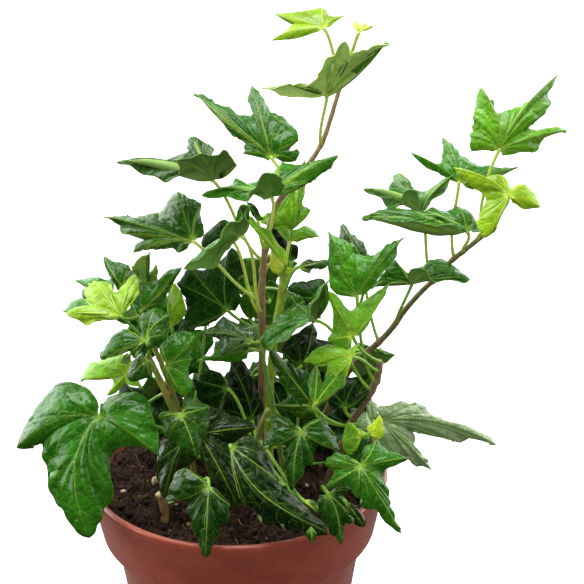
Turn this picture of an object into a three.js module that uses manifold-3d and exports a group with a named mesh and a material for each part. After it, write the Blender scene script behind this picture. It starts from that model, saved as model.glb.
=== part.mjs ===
// A potted ivy: a round plastic pot with peat soil, rooted shoots, their leaves and a cut stub.
// Millimetres, +Z up, origin at the centre of the pot's flat base, -Y towards the viewer.
//
// Shoots and leaves are placed from where they appear in a 584 x 584 picture of the plant.
// A picture point is written px,py, and its depth is the distance in mm that the point lies
// in front of the pot's axis. at() turns the two into a point in space.
import * as THREE from 'three';
import { mergeVertices } from 'three/addons/utils/BufferGeometryUtils.js';
import Module from 'manifold-3d';

const wasm = await Module();
wasm.setup();

// ---- driving dimensions ----
const GAP = 0.35;                    // clearance between touching pieces
const POT = {
  height: 95, rimRadius: 60, bandRadius: 55.5, bandHeight: 26, bodyRadius: 50.5, baseRadius: 41,
  wall: 1.8, floor: 2.2, sides: 44, holes: 8, holeRadius: 4, holeRing: 30, lip: 0.7,
};
const SOIL = { edgeHeight: 88, crown: 2, roughness: 1.1, rings: 6, sides: 30 };
const ROOT_DEPTH = 20;               // how far a shoot reaches below the soil surface
const BLADE = { thickness: 0.55, arch: 0.06, ring: 0.55 };
const PETIOLE = { radius: 0.62, swelling: 0.95, sides: 5, steps: 5, socket: 1.1 };
const STUB = { top: '160,493,29', foot: '165,527,30', radius: 1.5 };

// ---- the picture's camera ----
const PICTURE_CENTRE = 292;
const FOCAL = 1170;                  // focal length in picture pixels
const PITCH = THREE.MathUtils.degToRad(21.8);
const EYE = new THREE.Vector3(21.6, -412.1, 333.8);
const VIEW = new THREE.Vector3(0, Math.cos(PITCH), -Math.sin(PITCH));
const VIEW_UP = new THREE.Vector3(0, Math.sin(PITCH), Math.cos(PITCH));

// ---- shoots: px,py,depth from the soil upwards ----
const SHOOTS = [
  { name: 'shoot_centre', radius: [1.9, 0.75], tone: '#6e5845', path: `
    262,480,0 262,400,0 262,330,0 262,290,0 265,250,-1 270,225,-2 277,204,-3 291,187,-4 306,168,-4
    322,143,-4 330,120,-4 337,97,-3 343,78,-3 349,57,-2` },
  { name: 'shoot_lime', radius: [1.7, 1.5], tone: '#8fae3c', path: `
    270,484,8 269,430,8 270,380,8 274,340,8 278,315,8 283,288,8 283,268,8` },
  { name: 'shoot_green', radius: [1.4, 0.8], tone: '#5f8f25', path: `
    286,490,16 279,440,16 272,400,16 266,372,15 260,347,14 255,326,13` },
  { name: 'shoot_left', radius: [1.5, 1.1], tone: '#a9853f', path: `
    186,504,12 184,460,14 176,420,15 166,394,16 158,376,16 152,364,16 148,356,16` },
  { name: 'shoot_left_back', radius: [1.3, 0.8], tone: '#8d8f3c', path: `
    196,492,0 190,450,2 180,414,5 172,390,7 163,368,8 154,346,8 147,330,8 141,316,8` },
  { name: 'shoot_right', radius: [1.9, 1.2], tone: '#5f4a37', path: `
    322,502,9 338,456,10 353,420,10 364,403,9 371,392,8 378,374,6 380,362,5` },
  { name: 'shoot_right_long', radius: [1.7, 0.9], tone: '#5b4735', path: `
    298,476,-8 320,425,-12 348,372,-14 366,353,-14 380,341,-14 392,328,-14 405,310,-14 423,290,-13
    436,278,-12 450,262,-10 465,250,-8 482,236,-6` },
  { name: 'shoot_front', radius: [1.5, 0.9], tone: '#6f7a35', path: `
    266,496,18 264,478,22 258,450,26 260,430,28 268,409,31` },
];

// ---- leaves ----
// on: the shoot it grows from, and the picture point on it where its stalk starts.
// base: where stalk and blade meet. depth: of the base. facing: compass and height angle in
// degrees of the way the upper face looks, 0 being towards the viewer and 90 to the right.
// outline: clockwise round the upper face from the base; ^ marks a pointed lobe tip, and a signed
// number moves a point that many mm forward of the leaf's plane. Leaves with edge: true are seen
// along their plane, so all their points take their depth from those numbers alone.
const LEAVES = [
  // top of the centre shoot
  { name: 'leaf_top', on: ['shoot_centre', 343, 76], base: [324, 28], depth: -2, facing: [-20, 62],
    tone: '#a9cf2a', outline: `297,35 271,40^ 284,31 296,22 286,18.5 272,13.5^ 292,10 308,9.5
    322,5.5^ 327,11 328,17 335,16 344,14.5^ 336,22` },
  { name: 'leaf_top_underside', on: ['shoot_centre', 331, 118], base: [327, 96.3], depth: 2,
    facing: [180, 42], tone: '#6f9f3a', outline: `335,91 345,83 356,74 369,63.5 379,54 390,43.5^ 380,44
    366,49 352,57 349,49 344,41^ 337,48 331,58 320,75 303,84 284,83 261,88^ 277,92 300,97
    316,97.5` },
  // upper left tier
  { name: 'leaf_upper_left_high', on: ['shoot_centre', 294, 184], base: [271, 157], depth: -9,
    facing: [-10, 45], tone: '#2f7a1c', outline: `262,157 242,154^ 244,145 248,142 237,134.5 228,127.5
    213,110 194,93^ 209,98.5 214,103 230,109 240,114.5 253,116 247,100 251,83^ 260,94 268,108 283,115
    293,126 298,139^ 288,148 299,152^ 294,161 281,160` },
  { name: 'leaf_upper_left_long', on: ['shoot_centre', 264, 262], base: [213, 180], depth: 3,
    edge: true, tone: '#3c7d1d', outline: `237,165^+7 229,151+6 207,153+9 177,162^+12 184,171+8
    160,178+7 140,171+4 117,160^ 143,159-3 163,159-6 188,151-10 187,142-13 191,136^-16 203,142-12
    218,151-5` },
  { name: 'leaf_upper_left_low', on: ['shoot_centre', 262, 300], base: [193, 241], depth: 12,
    facing: [-25, 50], tone: '#2b6a1f', outline: `183,250 172,249 150,249.5 132,251^ 138,242 149,237
    123,233^ 118,226 102.7,215.7^ 124,216 137,215 153,212 166,201 176,189.5^ 187,196 201,203^
    199.5,214 204,231 200,240` },
  { name: 'leaf_upper_middle', on: ['shoot_centre', 265, 250], base: [271.8, 196.5], depth: 8,
    edge: true, tone: '#3a8a1e', outline: `287,184+7 279,174+11 268,169+12 256,181+10 249,197+6
    225,196+3 202,195^+1 220,187-4 235,178^-8 243,184-7 262,178-10 282,161^-14 300,163-12
    318,160-8 338,155^-6 320,171-2 312,179 292,188+3` },
  { name: 'leaf_middle_curled', on: ['shoot_centre', 262, 312], base: [241, 236], depth: 14,
    edge: true, tone: '#4a8a25', outline: `249,202^+4 240,206+4 238,216+5 228,221+6 214,243+7
    198,254+6 183,268^+2 205,267-2 219,258-3 229,243-2` },
  { name: 'leaf_middle_dark', on: ['shoot_centre', 261, 315], base: [232, 240], depth: -1,
    facing: [-20, 40], tone: '#16420f', outline: `213,252 203,250^ 204,233 215,222 228,219^ 233,228` },
  // behind the middle
  { name: 'leaf_centre_upright', on: ['shoot_centre', 263, 272], base: [290, 232], depth: -6,
    facing: [0, 25], tone: '#5c9c2a', outline: `279,229.5 263,223^ 262,213 270,211 277,205 290,188
    298,172 305.6,158^ 306,175 304,200 303,206 310.7,210.5^ 301,222 295,230` },
  // right shoot, far end
  { name: 'leaf_right_top', on: ['shoot_right_long', 481, 237], base: [499, 152], depth: -4,
    facing: [10, 35], tone: '#5a9a35', outline: `485,151.5 471,150^ 470,133 474,122 476,104 480,87^
    492,98 494,105 501,112 518,106 540,97 549,86 558.6,73.4^ 549,92 553,101 547,111 546,116
    538,123 531,129 548,127 567.5,130.4^ 549,137 535,151 508,153` },
  { name: 'leaf_right_high', on: ['shoot_right_long', 455, 258], base: [461, 185], depth: -9,
    facing: [0, 48], tone: '#4c8a3a', outline: `447,177 430,167 410,152.5^ 427,159 441,162
    443,135.5^ 454,147 466,157 480,165 501,165 518.4,167.8^ 500,174 484,179 472,190^` },
  { name: 'leaf_right_lime', on: ['shoot_right_long', 478, 240], base: [508, 195], depth: 7,
    facing: [15, 40], tone: '#8cc01f', outline: `506,205 500,219 496,229 484.6,237.3^ 477,222
    483,208 485,196 472,185 453.3,166.5^ 472,175 486,177 502,174.8^ 509,183 510,190 515,186
    526.7,182.4^ 535,191 540,207.3^ 524,208 514,203` },
  { name: 'leaf_right_mid', on: ['shoot_right_long', 432, 282], base: [421.5, 212.4], depth: -7,
    edge: true, tone: '#4f8a3c', outline: `420,190+8 403,192^+9 401,204+5 388,205+3 366,188^+2
    380,189-1 391,190-3 389,185-5 399,172^-9 407,178-7 412,188-4 430,187-2 443,178-1 454.6,173.5^+1
    446,190+2 434,202+2` },
  { name: 'leaf_right_flat', on: ['shoot_right_long', 463, 252], base: [467, 231], depth: 6,
    edge: true, tone: '#3d7d27', outline: `455,228+4 440,222+5 417,220+5 395,218+3 365,217^
    380,210-2 397,205-3 418,215 430,207^-8 441,209-8 455,206^-10 468,208-10 475,215^-8 470,224-3` },
  // right of the middle
  { name: 'leaf_right_middle', on: ['shoot_right', 375, 384], base: [357, 296], depth: 12,
    facing: [0, 35], tone: '#3c8a24', outline: `347,295.5 336,294 328,284^ 327,266 330,250 328,231^
    345,240 355,251 366,255 380,250 390,242 403.3,237.2^ 397,252 386,270 374,285 364,296` },
  { name: 'leaf_right_back', on: ['shoot_right_long', 352, 368], base: [366, 264], depth: -12,
    facing: [0, 40], tone: '#3b6a38', outline: `350,248 339,236 340,225^ 345,225 350,232 356,236
    364,240^ 367,249 373,255` },
  { name: 'leaf_right_low', on: ['shoot_right_long', 396, 323], base: [412, 284], depth: 0,
    edge: true, tone: '#35662c', outline: `398,282+2 374,288^+2 381,274 388,264^-3 396,262-3
    398,268-3 408,273-3 430,259^-8 445,258-9 458,266-6 470.3,279^-2 450,279+1 430,279+3
    421,266+6 412,265^+7 406,273+4` },
  { name: 'leaf_lime_middle', on: ['shoot_right', 380, 363], base: [353, 336], depth: 18,
    facing: [10, 25], tone: '#6fae1c', outline: `350,345 345,350^ 338,344 328,339.5^ 333,331
    332,310 328,289^ 336,294 344,305 352,310 366,301 389.4,284.6^ 380,303 368,323 359,333` },
  { name: 'leaf_pale_middle', on: ['shoot_right', 379, 370], base: [353, 357], depth: 22,
    facing: [-5, 38], tone: '#7fae48', outline: `350,367 345,378^ 341,373 335,379 325,390^ 327,372
    324,364 314,363.5 304.8,362.5^ 310,354 323,347 336,344 346,350 357,345^ 356,352` },
  // left shoot
  { name: 'leaf_lime_left', on: ['shoot_left_back', 141, 316], base: [120.8, 316.5], depth: 16,
    facing: [-20, 45], tone: '#94cc1e', outline: `106,319+3 95,321+4 84,323^+5 74,318+6
    66.5,313^+6 78,306+4 87,305+1 85,297-2 84,281^-3 97,281-2 108,282-1 115,292 126,281-1
    136,273.5^-3 138,281-2 138,291-1 131,303+1` },
  { name: 'leaf_left_wings', on: ['shoot_left', 149, 356], base: [145, 340.8], depth: 25,
    facing: [-10, 48], tone: '#2f7a1e', outline: `134,349 118,354 101,359^ 99,351 107,341 123,328^
    134,332 139,334 140,318 146,311 160,309 172,316.5^ 168,323 168,335^ 158,344 150,348` },
  { name: 'leaf_left_bright', on: ['shoot_left', 154, 369], base: [128, 373], depth: 10,
    facing: [-20, 45], tone: '#86b93a', outline: `140,383^ 134,385 128,385 123.5,382.5 118,391
    106.5,395.5^ 112,388 113,380 103,378 92,379 79.5,380.5^ 84,371 90,362 101,358 112,356
    122,354^ 128,362 133,368` },
  { name: 'leaf_left_round', on: ['shoot_left', 160, 381], base: [147, 361], depth: 21,
    facing: [-10, 40], tone: '#1f5a12', outline: `152,368 151,379^ 140,377 131,381 126,375^ 130,366
    137,357` },
  { name: 'leaf_left_inner', on: ['shoot_left_back', 168, 380], base: [166, 366], depth: 21,
    facing: [10, 35], tone: '#35702a', outline: `162,352 164,343 170,336 190,330 201,329^ 198,340
    193,350 192,361^ 188,368 188,378 195,393^ 185,398 176,388 169,376` },
  { name: 'leaf_left_point', on: ['shoot_left_back', 158, 356], base: [124, 288], depth: 1,
    facing: [-15, 40], tone: '#2c7a1c', outline: `116,288 110,277 106,268 103.5,256.6^ 114,260
    129,264^ 131,270 139,272^ 136,281` },
  { name: 'leaf_left_glossy', on: ['shoot_left_back', 145, 326], base: [141, 311], depth: 11,
    facing: [-5, 40], tone: '#1f6a14', outline: `139,295 138,281^ 147,284 157,280 162,272 170,269
    181.4,267^ 175,280 165,290 159,302^ 150,308` },
  { name: 'leaf_left_folded', on: ['shoot_left_back', 180, 414], base: [171, 326], depth: 12,
    facing: [-35, 15], tone: '#7fa51e', outline: `166,311 164,298 166,288 174,283^ 181,292 185,311^
    180,320` },
  // centre
  { name: 'leaf_centre_large', on: ['shoot_centre', 262, 330], base: [227.3, 310], depth: 8,
    facing: [-5, 42], tone: '#123f0d', outline: `215,322 195,328 175.6,331.8^ 183,315 185,300
    178,284^ 183,275 190,268^ 205,266 213,269 222,258 233.7,247.7^ 239,258 237,275 239,298^
    236,309` },
  { name: 'leaf_centre_grey', on: ['shoot_green', 258, 340], base: [252, 342], depth: 23,
    facing: [-15, 45], tone: '#4a6e48', outline: `243,351 232,352.5 222,356^ 217,347 206,346 196,346.5^
    199,339 203,332 211,325.5 222,316^ 231,323 240,323 250,325^ 257,333` },
  { name: 'leaf_centre_low', on: ['shoot_green', 261, 350], base: [250, 349], depth: 17,
    facing: [-10, 40], tone: '#2b5f1c', outline: `243,359 228,362^ 212,360 196,361^ 203,357.5
    213,355 214,349 215,341^ 222,340` },
  { name: 'leaf_centre_heart', on: ['shoot_front', 250, 462], base: [235, 402], depth: 12,
    facing: [-5, 40], tone: '#0f2f0b', outline: `226,408 212,408 202,403^ 197,392 199,379 208,371^
    218,373 228,384^ 234,392` },
  { name: 'leaf_centre_deep', on: ['shoot_front', 252, 446], base: [252, 421], depth: 12,
    facing: [0, 35], tone: '#12330d', outline: `240,408 230,396 228,384 230,367 235,360^ 245,363
    249,374 256,385 263,400^ 263,412` },
  { name: 'leaf_centre_folded', on: ['shoot_right', 371, 392], base: [315, 320], depth: 20,
    edge: true, tone: '#3f7f2b', outline: `325,305+5 328.8,280^+8 311,303+11 298,325+11 277,340+9
    262,345^+5 265,329-3 276,320-6 287,311-9 303,300^-12 309,308-8` },
  // front, from left to right
  { name: 'leaf_front_left', on: ['shoot_left', 178, 430], base: [99, 416], depth: 26,
    facing: [-20, 33], tone: '#1f5c17', outline: `113,396 130,391 150,400 155,425 159,457.5^
    130,446.5 114,450 110,470 112,491 103,511 96,527 88,538.5^ 75,530 62,511 53,501 46,480 44,465
    40.5,443 17,447^ 22,430 34,410 48,392 68,381 85,386` },
  { name: 'leaf_front_heart', on: ['shoot_left', 180, 440], base: [180, 414.5], depth: 30,
    facing: [5, 40], tone: '#3a7a2c', outline: `190,404 200,402.5 209,405^ 209,430 203,445
    197.5,457.5^ 190,454 180,449 165,428 151,416^ 160,411 171,410` },
  { name: 'leaf_front_shadow', on: ['shoot_left', 184, 462], base: [186, 438], depth: 20,
    facing: [0, 35], tone: '#133a10', outline: `198,452 190,466 179,467 175,478 171,489 166,498^
    159,489 157,468 160,441^ 172,437` },
  { name: 'leaf_front_lower', on: ['shoot_left', 185, 490], base: [208.5, 486], depth: 53,
    facing: [-5, 30], tone: '#1f5416', outline: `216,489 222,497 230,510^ 224,522 219,538 213,546
    205.5,557.5^ 199,546 193,532 187,515 178,508 167,503^ 169,490 172,480 181,468^ 191,470 200,478` },
  { name: 'leaf_front_dark', on: ['shoot_front', 250, 455], base: [200, 434], depth: 29,
    facing: [0, 38], tone: '#173f13', outline: `204,417 211,405^ 222,410 232,416 245,418 255,426^
    250,435 236,447 236,462 240,480 243,495 238,508^ 225,490 213,470 204,450` },
  { name: 'leaf_front_bottom', on: ['shoot_front', 250, 452], base: [236, 452], depth: 44,
    facing: [5, 33], tone: '#1b4416', outline: `246,447 262,443^ 272,462 276,478 284,486 300,499
    318,520 329,534^ 315,538 300,531 285,528 278,522 262,523^ 252,512 243,500 236,485` },
  { name: 'leaf_front_star', on: ['shoot_front', 262, 416], base: [301, 431.5], depth: 38,
    facing: [0, 35], tone: '#235f17', outline: `308,423 316,418 325,417^ 332,428 340,450.5^ 330,447
    318,443 313,452 309,463 300,478 292,491^ 287,476 283,462 280,443 262,450^ 268,438 272,430
    265,420^ 280,421 291,420 296,424` },
  { name: 'leaf_front_two_tone', on: ['shoot_right', 350, 426], base: [313.5, 405.8], depth: 30,
    facing: [0, 30], tone: '#2c661c', outline: `316,413 308,420 296,415 285,408 271.4,405.8^ 286,399
    280,386 275,370 269.5,348.4^ 281,353 292,364 307,373^ 317,368 321,381 330,378 342,370^ 345,383
    333,396 322,404` },
  { name: 'leaf_front_right', on: ['shoot_right', 336, 462], base: [359.5, 465], depth: 44,
    facing: [12, 35], tone: '#2a6a1a', outline: `362,450 375,440^ 385,449 398,455 410,458^ 386,467
    385,476 390,494 396,520 401.5,533^ 388,523 380,513 367,508 355,497 350,489 338,490 326,488^
    333,480 334,471 325,462^ 338,455 350,458` },
  { name: 'leaf_front_low_right', on: ['shoot_right', 326, 490], base: [328, 494], depth: 46,
    facing: [8, 30], tone: '#1d4a14', outline: `338,490 351,489^ 346,497 352,515 353,524 345,535
    341,545^ 330,535 326,527 320,520^ 322,508` },
  { name: 'leaf_right_pale', on: ['shoot_right', 355, 416], base: [381, 422], depth: 2,
    facing: [20, 42], tone: '#3f6f43', outline: `377,405 390,404 402,400.5^ 411,405 418,402.5^ 432,413
    445,420 453,424.5 463,426^ 480,432 492,439 497.5,445^ 478,441.5 460,439 447,438 440,437.5
    428,435 412,431 416,438 415,445 422,453 432,471^ 418,467 400,459 386,453^ 381,438` },
  // at the back, facing away from the viewer
  { name: 'leaf_back_centre', on: ['shoot_centre', 262, 372], base: [305, 358], depth: -32,
    facing: [175, 15], tone: '#2c6420', outline: `292,352 283,349^ 281,362 274,372^ 288,380 296,390
    304,401^ 313,388 322,380 335,374^ 328,362 330,351^ 317,353` },
  { name: 'leaf_back_left', on: ['shoot_left_back', 186, 434], base: [210, 284], depth: -20,
    facing: [190, 15], tone: '#2c6420', outline: `200,279 191,277^ 190,288 184,300^ 195,304 202,314
    208,326^ 217,311 226,303 235,295^ 228,286 230,275^ 219,279` },
  { name: 'leaf_back_right', on: ['shoot_right_long', 380, 341], base: [358, 262], depth: -30,
    facing: [165, 15], tone: '#33702a', outline: `348,258 340,256^ 339,267 334,277^ 345,281 351,287
    357,292^ 364,283 371,275 379,266^ 368,261` },
];

// ---- small leaves that are made in one piece with their shoot ----
const GROWTH = [
  { on: ['shoot_centre', 349, 57], base: [358.5, 33], depth: -2, facing: [0, 45],
    outline: '354,28 355,19^ 361,26 367,22.5^ 366,26 374,25.5^ 368,30' },
  { on: ['shoot_centre', 262, 340], base: [318, 298], depth: -10, facing: [10, 45],
    outline: '306,306 292,308 287,290^ 288,284 300,281 318,278^ 325,285' },
  { on: ['shoot_lime', 283, 274], base: [283, 272], depth: 10, facing: [0, 20],
    outline: '275,273 270,266^ 270,256 272,249^ 279,258 284,263 290,263 294,269^ 289,274' },
  { on: ['shoot_lime', 283, 272], base: [283, 258], depth: 14, facing: [-10, 18],
    outline: '270,247 255,229 246,211^ 255,215 263,226 273,235^ 277,243 281,246^ 288,253' },
  { on: ['shoot_lime', 282, 292], base: [298, 267], depth: 17, facing: [20, 45],
    outline: '302,262 306,259 312,258^ 321,261.5 329,260^ 328,266 320,269 312,270 309,273^ 303,271' },
  { on: ['shoot_lime', 283, 270], base: [290, 241], depth: 5, facing: [15, 50],
    outline: '282,234 276,226^ 284,225 292,231 304,226 313,228 319.7,236.7^ 306,239 297,241' },
  { on: ['shoot_lime', 283, 288], base: [286, 262], depth: 2, facing: [0, 35],
    outline: '276,246 268,229^ 279,228 288,240 297,246 298,255^ 293,262' },
  { on: ['shoot_lime', 270, 375], base: [301, 366], depth: 4, facing: [5, 40],
    outline: '290,362 281,350^ 287,340 300,333 313,326^ 316,340 322,343^ 315,353' },
  { on: ['shoot_left_back', 153, 344], base: [108, 300], depth: 6, facing: [-25, 45],
    outline: '90,301 81,295 81,286 75.5,280.8^ 84,278 94,276.5 104,279 112,277^ 114,288' },
  { on: ['shoot_left_back', 150, 338], base: [148, 284], depth: -14, facing: [180, 40],
    outline: `157,282 158,274 157,264^ 154,268 151,273 150,266 150.5,259 149.5,251^ 141,255 138,258
    131,265^ 138,277` },
  { on: ['shoot_right', 350, 428], base: [362, 441], depth: 30, facing: [5, 25],
    outline: `357,449 353,455^ 345,447 344,434 350,424^ 359,428 364,436 369,425 380,414^ 382,426
    376,437` },
  { on: ['shoot_right', 353, 420], base: [345, 408], depth: 14, facing: [5, 35],
    outline: '334,409 328,400 333,390^ 343,385 354,376^ 357,388 355,402' },
  { on: ['shoot_right', 342, 446], base: [350, 426], depth: 8, facing: [-10, 35],
    outline: '343,430 333,424 328,412^ 338,406 351,405^ 356,414' },
];

// A dry root that hangs in the air beside the right shoot: px,py,depth.
const AIR_ROOT = { shoot: 'shoot_right', radius: [0.55, 0.35],
  path: '372,391,8 375,402,9 377,415,10 378,430,11 382,447,12' };

// ---- picture geometry ----
function ray(px, py) {
  return VIEW.clone()
    .addScaledVector(VIEW_UP, (PICTURE_CENTRE - py) / FOCAL)
    .add(new THREE.Vector3((px - PICTURE_CENTRE) / FOCAL, 0, 0));
}

function at(px, py, depth) {
  const line = ray(px, py);
  return EYE.clone().addScaledVector(line, (-depth - EYE.y) / line.y);
}

function onPlane(px, py, point, normal) {
  const line = ray(px, py);
  const reach = point.clone().sub(EYE).dot(normal) / line.dot(normal);
  return EYE.clone().addScaledVector(line, reach);
}

function toPicture(point) {
  const offset = point.clone().sub(EYE);
  const far = offset.dot(VIEW);
  const across = PICTURE_CENTRE + FOCAL * offset.x / far;
  const down = PICTURE_CENTRE - FOCAL * offset.dot(VIEW_UP) / far;
  return new THREE.Vector2(across, down);
}

function pathPoints(text) {
  return text.trim().split(/\s+/).map((word) => at(...word.split(',').map(Number)));
}

function facingNormal([compass, height]) {
  const turn = THREE.MathUtils.degToRad(compass);
  const rise = THREE.MathUtils.degToRad(height);
  return new THREE.Vector3(
    Math.sin(turn) * Math.cos(rise), -Math.cos(turn) * Math.cos(rise), Math.sin(rise));
}

// ---- solids ----
function toManifold(geometry) {
  const bare = geometry.clone();
  bare.deleteAttribute('normal');
  bare.deleteAttribute('uv');
  const merged = mergeVertices(bare, 1e-4);
  return new wasm.Manifold(new wasm.Mesh({
    numProp: 3,
    vertProperties: new Float32Array(merged.attributes.position.array),
    triVerts: new Uint32Array(merged.index.array),
  }));
}

function toGeometry(solid) {
  const mesh = solid.getMesh();
  const geometry = new THREE.BufferGeometry();
  geometry.setAttribute('position', new THREE.BufferAttribute(mesh.vertProperties, 3));
  geometry.setIndex(new THREE.BufferAttribute(mesh.triVerts, 1));
  return geometry;
}

function solidFrom(points, faces) {
  const geometry = new THREE.BufferGeometry().setFromPoints(points);
  geometry.setIndex(faces);
  return toManifold(geometry);
}

// A round rod along a path, with its radius given at each point.
function rod(points, radii, sides) {
  const rings = [];
  const tangents = points.map((_, i) => points[Math.min(i + 1, points.length - 1)].clone()
    .sub(points[Math.max(i - 1, 0)]).normalize());
  let side = new THREE.Vector3(1, 0, 0);
  points.forEach((point, i) => {
    side = side.clone().addScaledVector(tangents[i], -side.dot(tangents[i])).normalize();
    const other = tangents[i].clone().cross(side);
    for (let k = 0; k < sides; k += 1) {
      const angle = 2 * Math.PI * k / sides;
      rings.push(point.clone()
        .addScaledVector(side, radii[i] * Math.cos(angle))
        .addScaledVector(other, radii[i] * Math.sin(angle)));
    }
  });
  const faces = [];
  for (let i = 0; i < points.length - 1; i += 1) {
    for (let k = 0; k < sides; k += 1) {
      const a = i * sides + k;
      const b = i * sides + (k + 1) % sides;
      faces.push(a, b, b + sides, a, b + sides, a + sides);
    }
  }
  const last = (points.length - 1) * sides;
  for (let k = 1; k < sides - 1; k += 1) {
    faces.push(0, k + 1, k);
    faces.push(last, last + k, last + k + 1);
  }
  return solidFrom(rings, faces);
}

// ---- leaf blades ----
function outlinePoints(leaf, base, normal) {
  return leaf.outline.trim().split(/\s+/).map((word) => {
    const [, px, py, , lift] = word.match(/^([\d.]+),([\d.]+)(\^?)([+-][\d.]+)?$/);
    const forward = Number(lift || 0);
    if (leaf.edge) return at(Number(px), Number(py), leaf.depth + forward);
    const flat = onPlane(Number(px), Number(py), base, normal);
    return at(Number(px), Number(py), forward - flat.y);
  });
}

function blade(leaf) {
  const base = at(...leaf.base, leaf.depth);
  const normal = leaf.edge ? null : facingNormal(leaf.facing);
  const rim = outlinePoints(leaf, base, normal);
  const count = rim.length;
  const mean = new THREE.Vector3();
  for (let i = 0; i < count - 1; i += 1) {
    mean.add(rim[i + 1].clone().sub(base).cross(rim[i].clone().sub(base)));
  }
  mean.normalize();
  const ring = rim.map((point) => {
    const reach = point.clone().sub(base);
    const arch = BLADE.arch * reach.length();
    return base.clone().addScaledVector(reach, BLADE.ring).addScaledVector(mean, arch);
  });
  const top = [base, ...ring, ...rim];
  const upper = [];
  for (let i = 1; i < count; i += 1) {
    upper.push(0, i + 1, i);
    upper.push(i, i + 1, i + 1 + count, i, i + 1 + count, i + count);
  }
  const normals = top.map(() => new THREE.Vector3());
  for (let i = 0; i < upper.length; i += 3) {
    const [a, b, c] = upper.slice(i, i + 3).map((index) => top[index]);
    const across = b.clone().sub(a).cross(c.clone().sub(a));
    upper.slice(i, i + 3).forEach((index) => normals[index].add(across));
  }
  const under = top.map((point, i) => point.clone()
    .addScaledVector(normals[i].normalize(), -BLADE.thickness));
  const size = top.length;
  const faces = [...upper];
  for (let i = 0; i < upper.length; i += 3) {
    faces.push(upper[i] + size, upper[i + 2] + size, upper[i + 1] + size);
  }
  const border = [0, 1, ...rim.map((_, i) => 1 + count + i), count];
  border.forEach((from, i) => {
    const to = border[(i + 1) % border.length];
    faces.push(from, to, to + size, from, to + size, from + size);
  });
  const tip = rim[Math.floor(count / 2)].clone().sub(base);
  return { solid: solidFrom([...top, ...under], faces), base, mean, tip };
}

// ---- stalks ----
function nearestOnShoot(shoot, px, py) {
  const target = new THREE.Vector2(px, py);
  let best = { miss: Infinity };
  shoot.samples.forEach((point, i) => {
    const miss = toPicture(point).distanceTo(target);
    const ahead = shoot.samples[Math.min(i + 1, shoot.samples.length - 1)];
    const behind = shoot.samples[Math.max(i - 1, 0)];
    if (miss < best.miss) best = { miss, point, tangent: ahead.clone().sub(behind).normalize() };
  });
  return best;
}

function stalk(start, end, outward, arrival) {
  const length = start.distanceTo(end);
  const curve = new THREE.CubicBezierCurve3(
    start,
    start.clone().lerp(end, 0.2).addScaledVector(outward, 0.15 * length),
    end.clone().addScaledVector(arrival, -0.25 * length),
    end);
  const points = curve.getPoints(PETIOLE.steps);
  points.push(end.clone().addScaledVector(arrival, PETIOLE.socket));
  const radii = points.map((_, i) => (i === 0 ? PETIOLE.swelling : PETIOLE.radius));
  return rod(points, radii, PETIOLE.sides);
}

// A leaf with its stalk, which starts inside its shoot.
function stalkedLeaf(leaf, shoot) {
  const { solid, base, mean, tip } = blade(leaf);
  const [, px, py] = leaf.on;
  const { point, tangent } = nearestOnShoot(shoot, px, py);
  const reach = base.clone().sub(point);
  const outward = reach.clone().addScaledVector(tangent, -reach.dot(tangent)).normalize();
  const arrival = tip.clone().normalize().multiplyScalar(0.8)
    .addScaledVector(mean, 0.25)
    .addScaledVector(reach.clone().normalize(), 0.6)
    .normalize();
  return solid.add(stalk(point, base, outward, arrival));
}

// The same leaf as a piece of its own: cut back so that its foot clears the shoot.
function leafSolid(leaf, shoot) {
  return stalkedLeaf(leaf, shoot).subtract(shoot.clearance);
}

// ---- shoots ----
function grow(shoot) {
  const knots = pathPoints(shoot.path);
  const root = knots[0].clone().add(new THREE.Vector3(0, 0, -ROOT_DEPTH));
  const curve = new THREE.CatmullRomCurve3([root, ...knots], false, 'centripetal');
  const count = Math.round(curve.getLength() / 9);
  const [thick, thin] = shoot.radius;
  const points = curve.getSpacedPoints(count);
  const radii = points.map((_, i) => THREE.MathUtils.lerp(thick, thin, i / count));
  const below = points[0].clone().add(new THREE.Vector3(0, 0, -GAP));
  const above = points[count].clone().addScaledVector(curve.getTangent(1), GAP);
  return {
    ...shoot,
    solid: rod(points, radii, 8),
    clearance: rod([below, ...points.slice(1, count), above], radii.map((r) => r + GAP), 8),
    samples: curve.getSpacedPoints(count * 6),
  };
}

function addGrowth(shoots) {
  GROWTH.forEach((leaf) => {
    const shoot = shoots.get(leaf.on[0]);
    shoot.solid = shoot.solid.add(stalkedLeaf(leaf, shoot));
  });
  const rooted = shoots.get(AIR_ROOT.shoot);
  const points = pathPoints(AIR_ROOT.path);
  const [thick, thin] = AIR_ROOT.radius;
  const radii = points.map((_, i) => THREE.MathUtils.lerp(thick, thin, i / (points.length - 1)));
  rooted.solid = rooted.solid.add(rod(points, radii, 5));
}

// ---- pot and soil ----
function potProfile() {
  const { height, rimRadius, bandRadius, bandHeight, bodyRadius, baseRadius, wall, floor, lip } = POT;
  const shoulder = height - bandHeight;
  return [
    [0, 0], [baseRadius - 1.5, 0], [baseRadius, 1.2], [bodyRadius, shoulder - 1.4],
    [bandRadius - 0.6, shoulder], [bandRadius, shoulder + 1],
    [rimRadius - 0.5, height - 3.2], [rimRadius, height - 2.6], [rimRadius, height - lip],
    [rimRadius - lip, height], [rimRadius - wall, height], [rimRadius - wall - 0.5, height - 0.6],
    [bandRadius - wall, shoulder + 1.4], [bodyRadius - wall, shoulder - 2.4],
    [baseRadius - wall + 0.2, floor + 1], [baseRadius - wall - 1.2, floor], [0, floor],
  ].map(([x, y]) => new THREE.Vector2(x, y));
}

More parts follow.
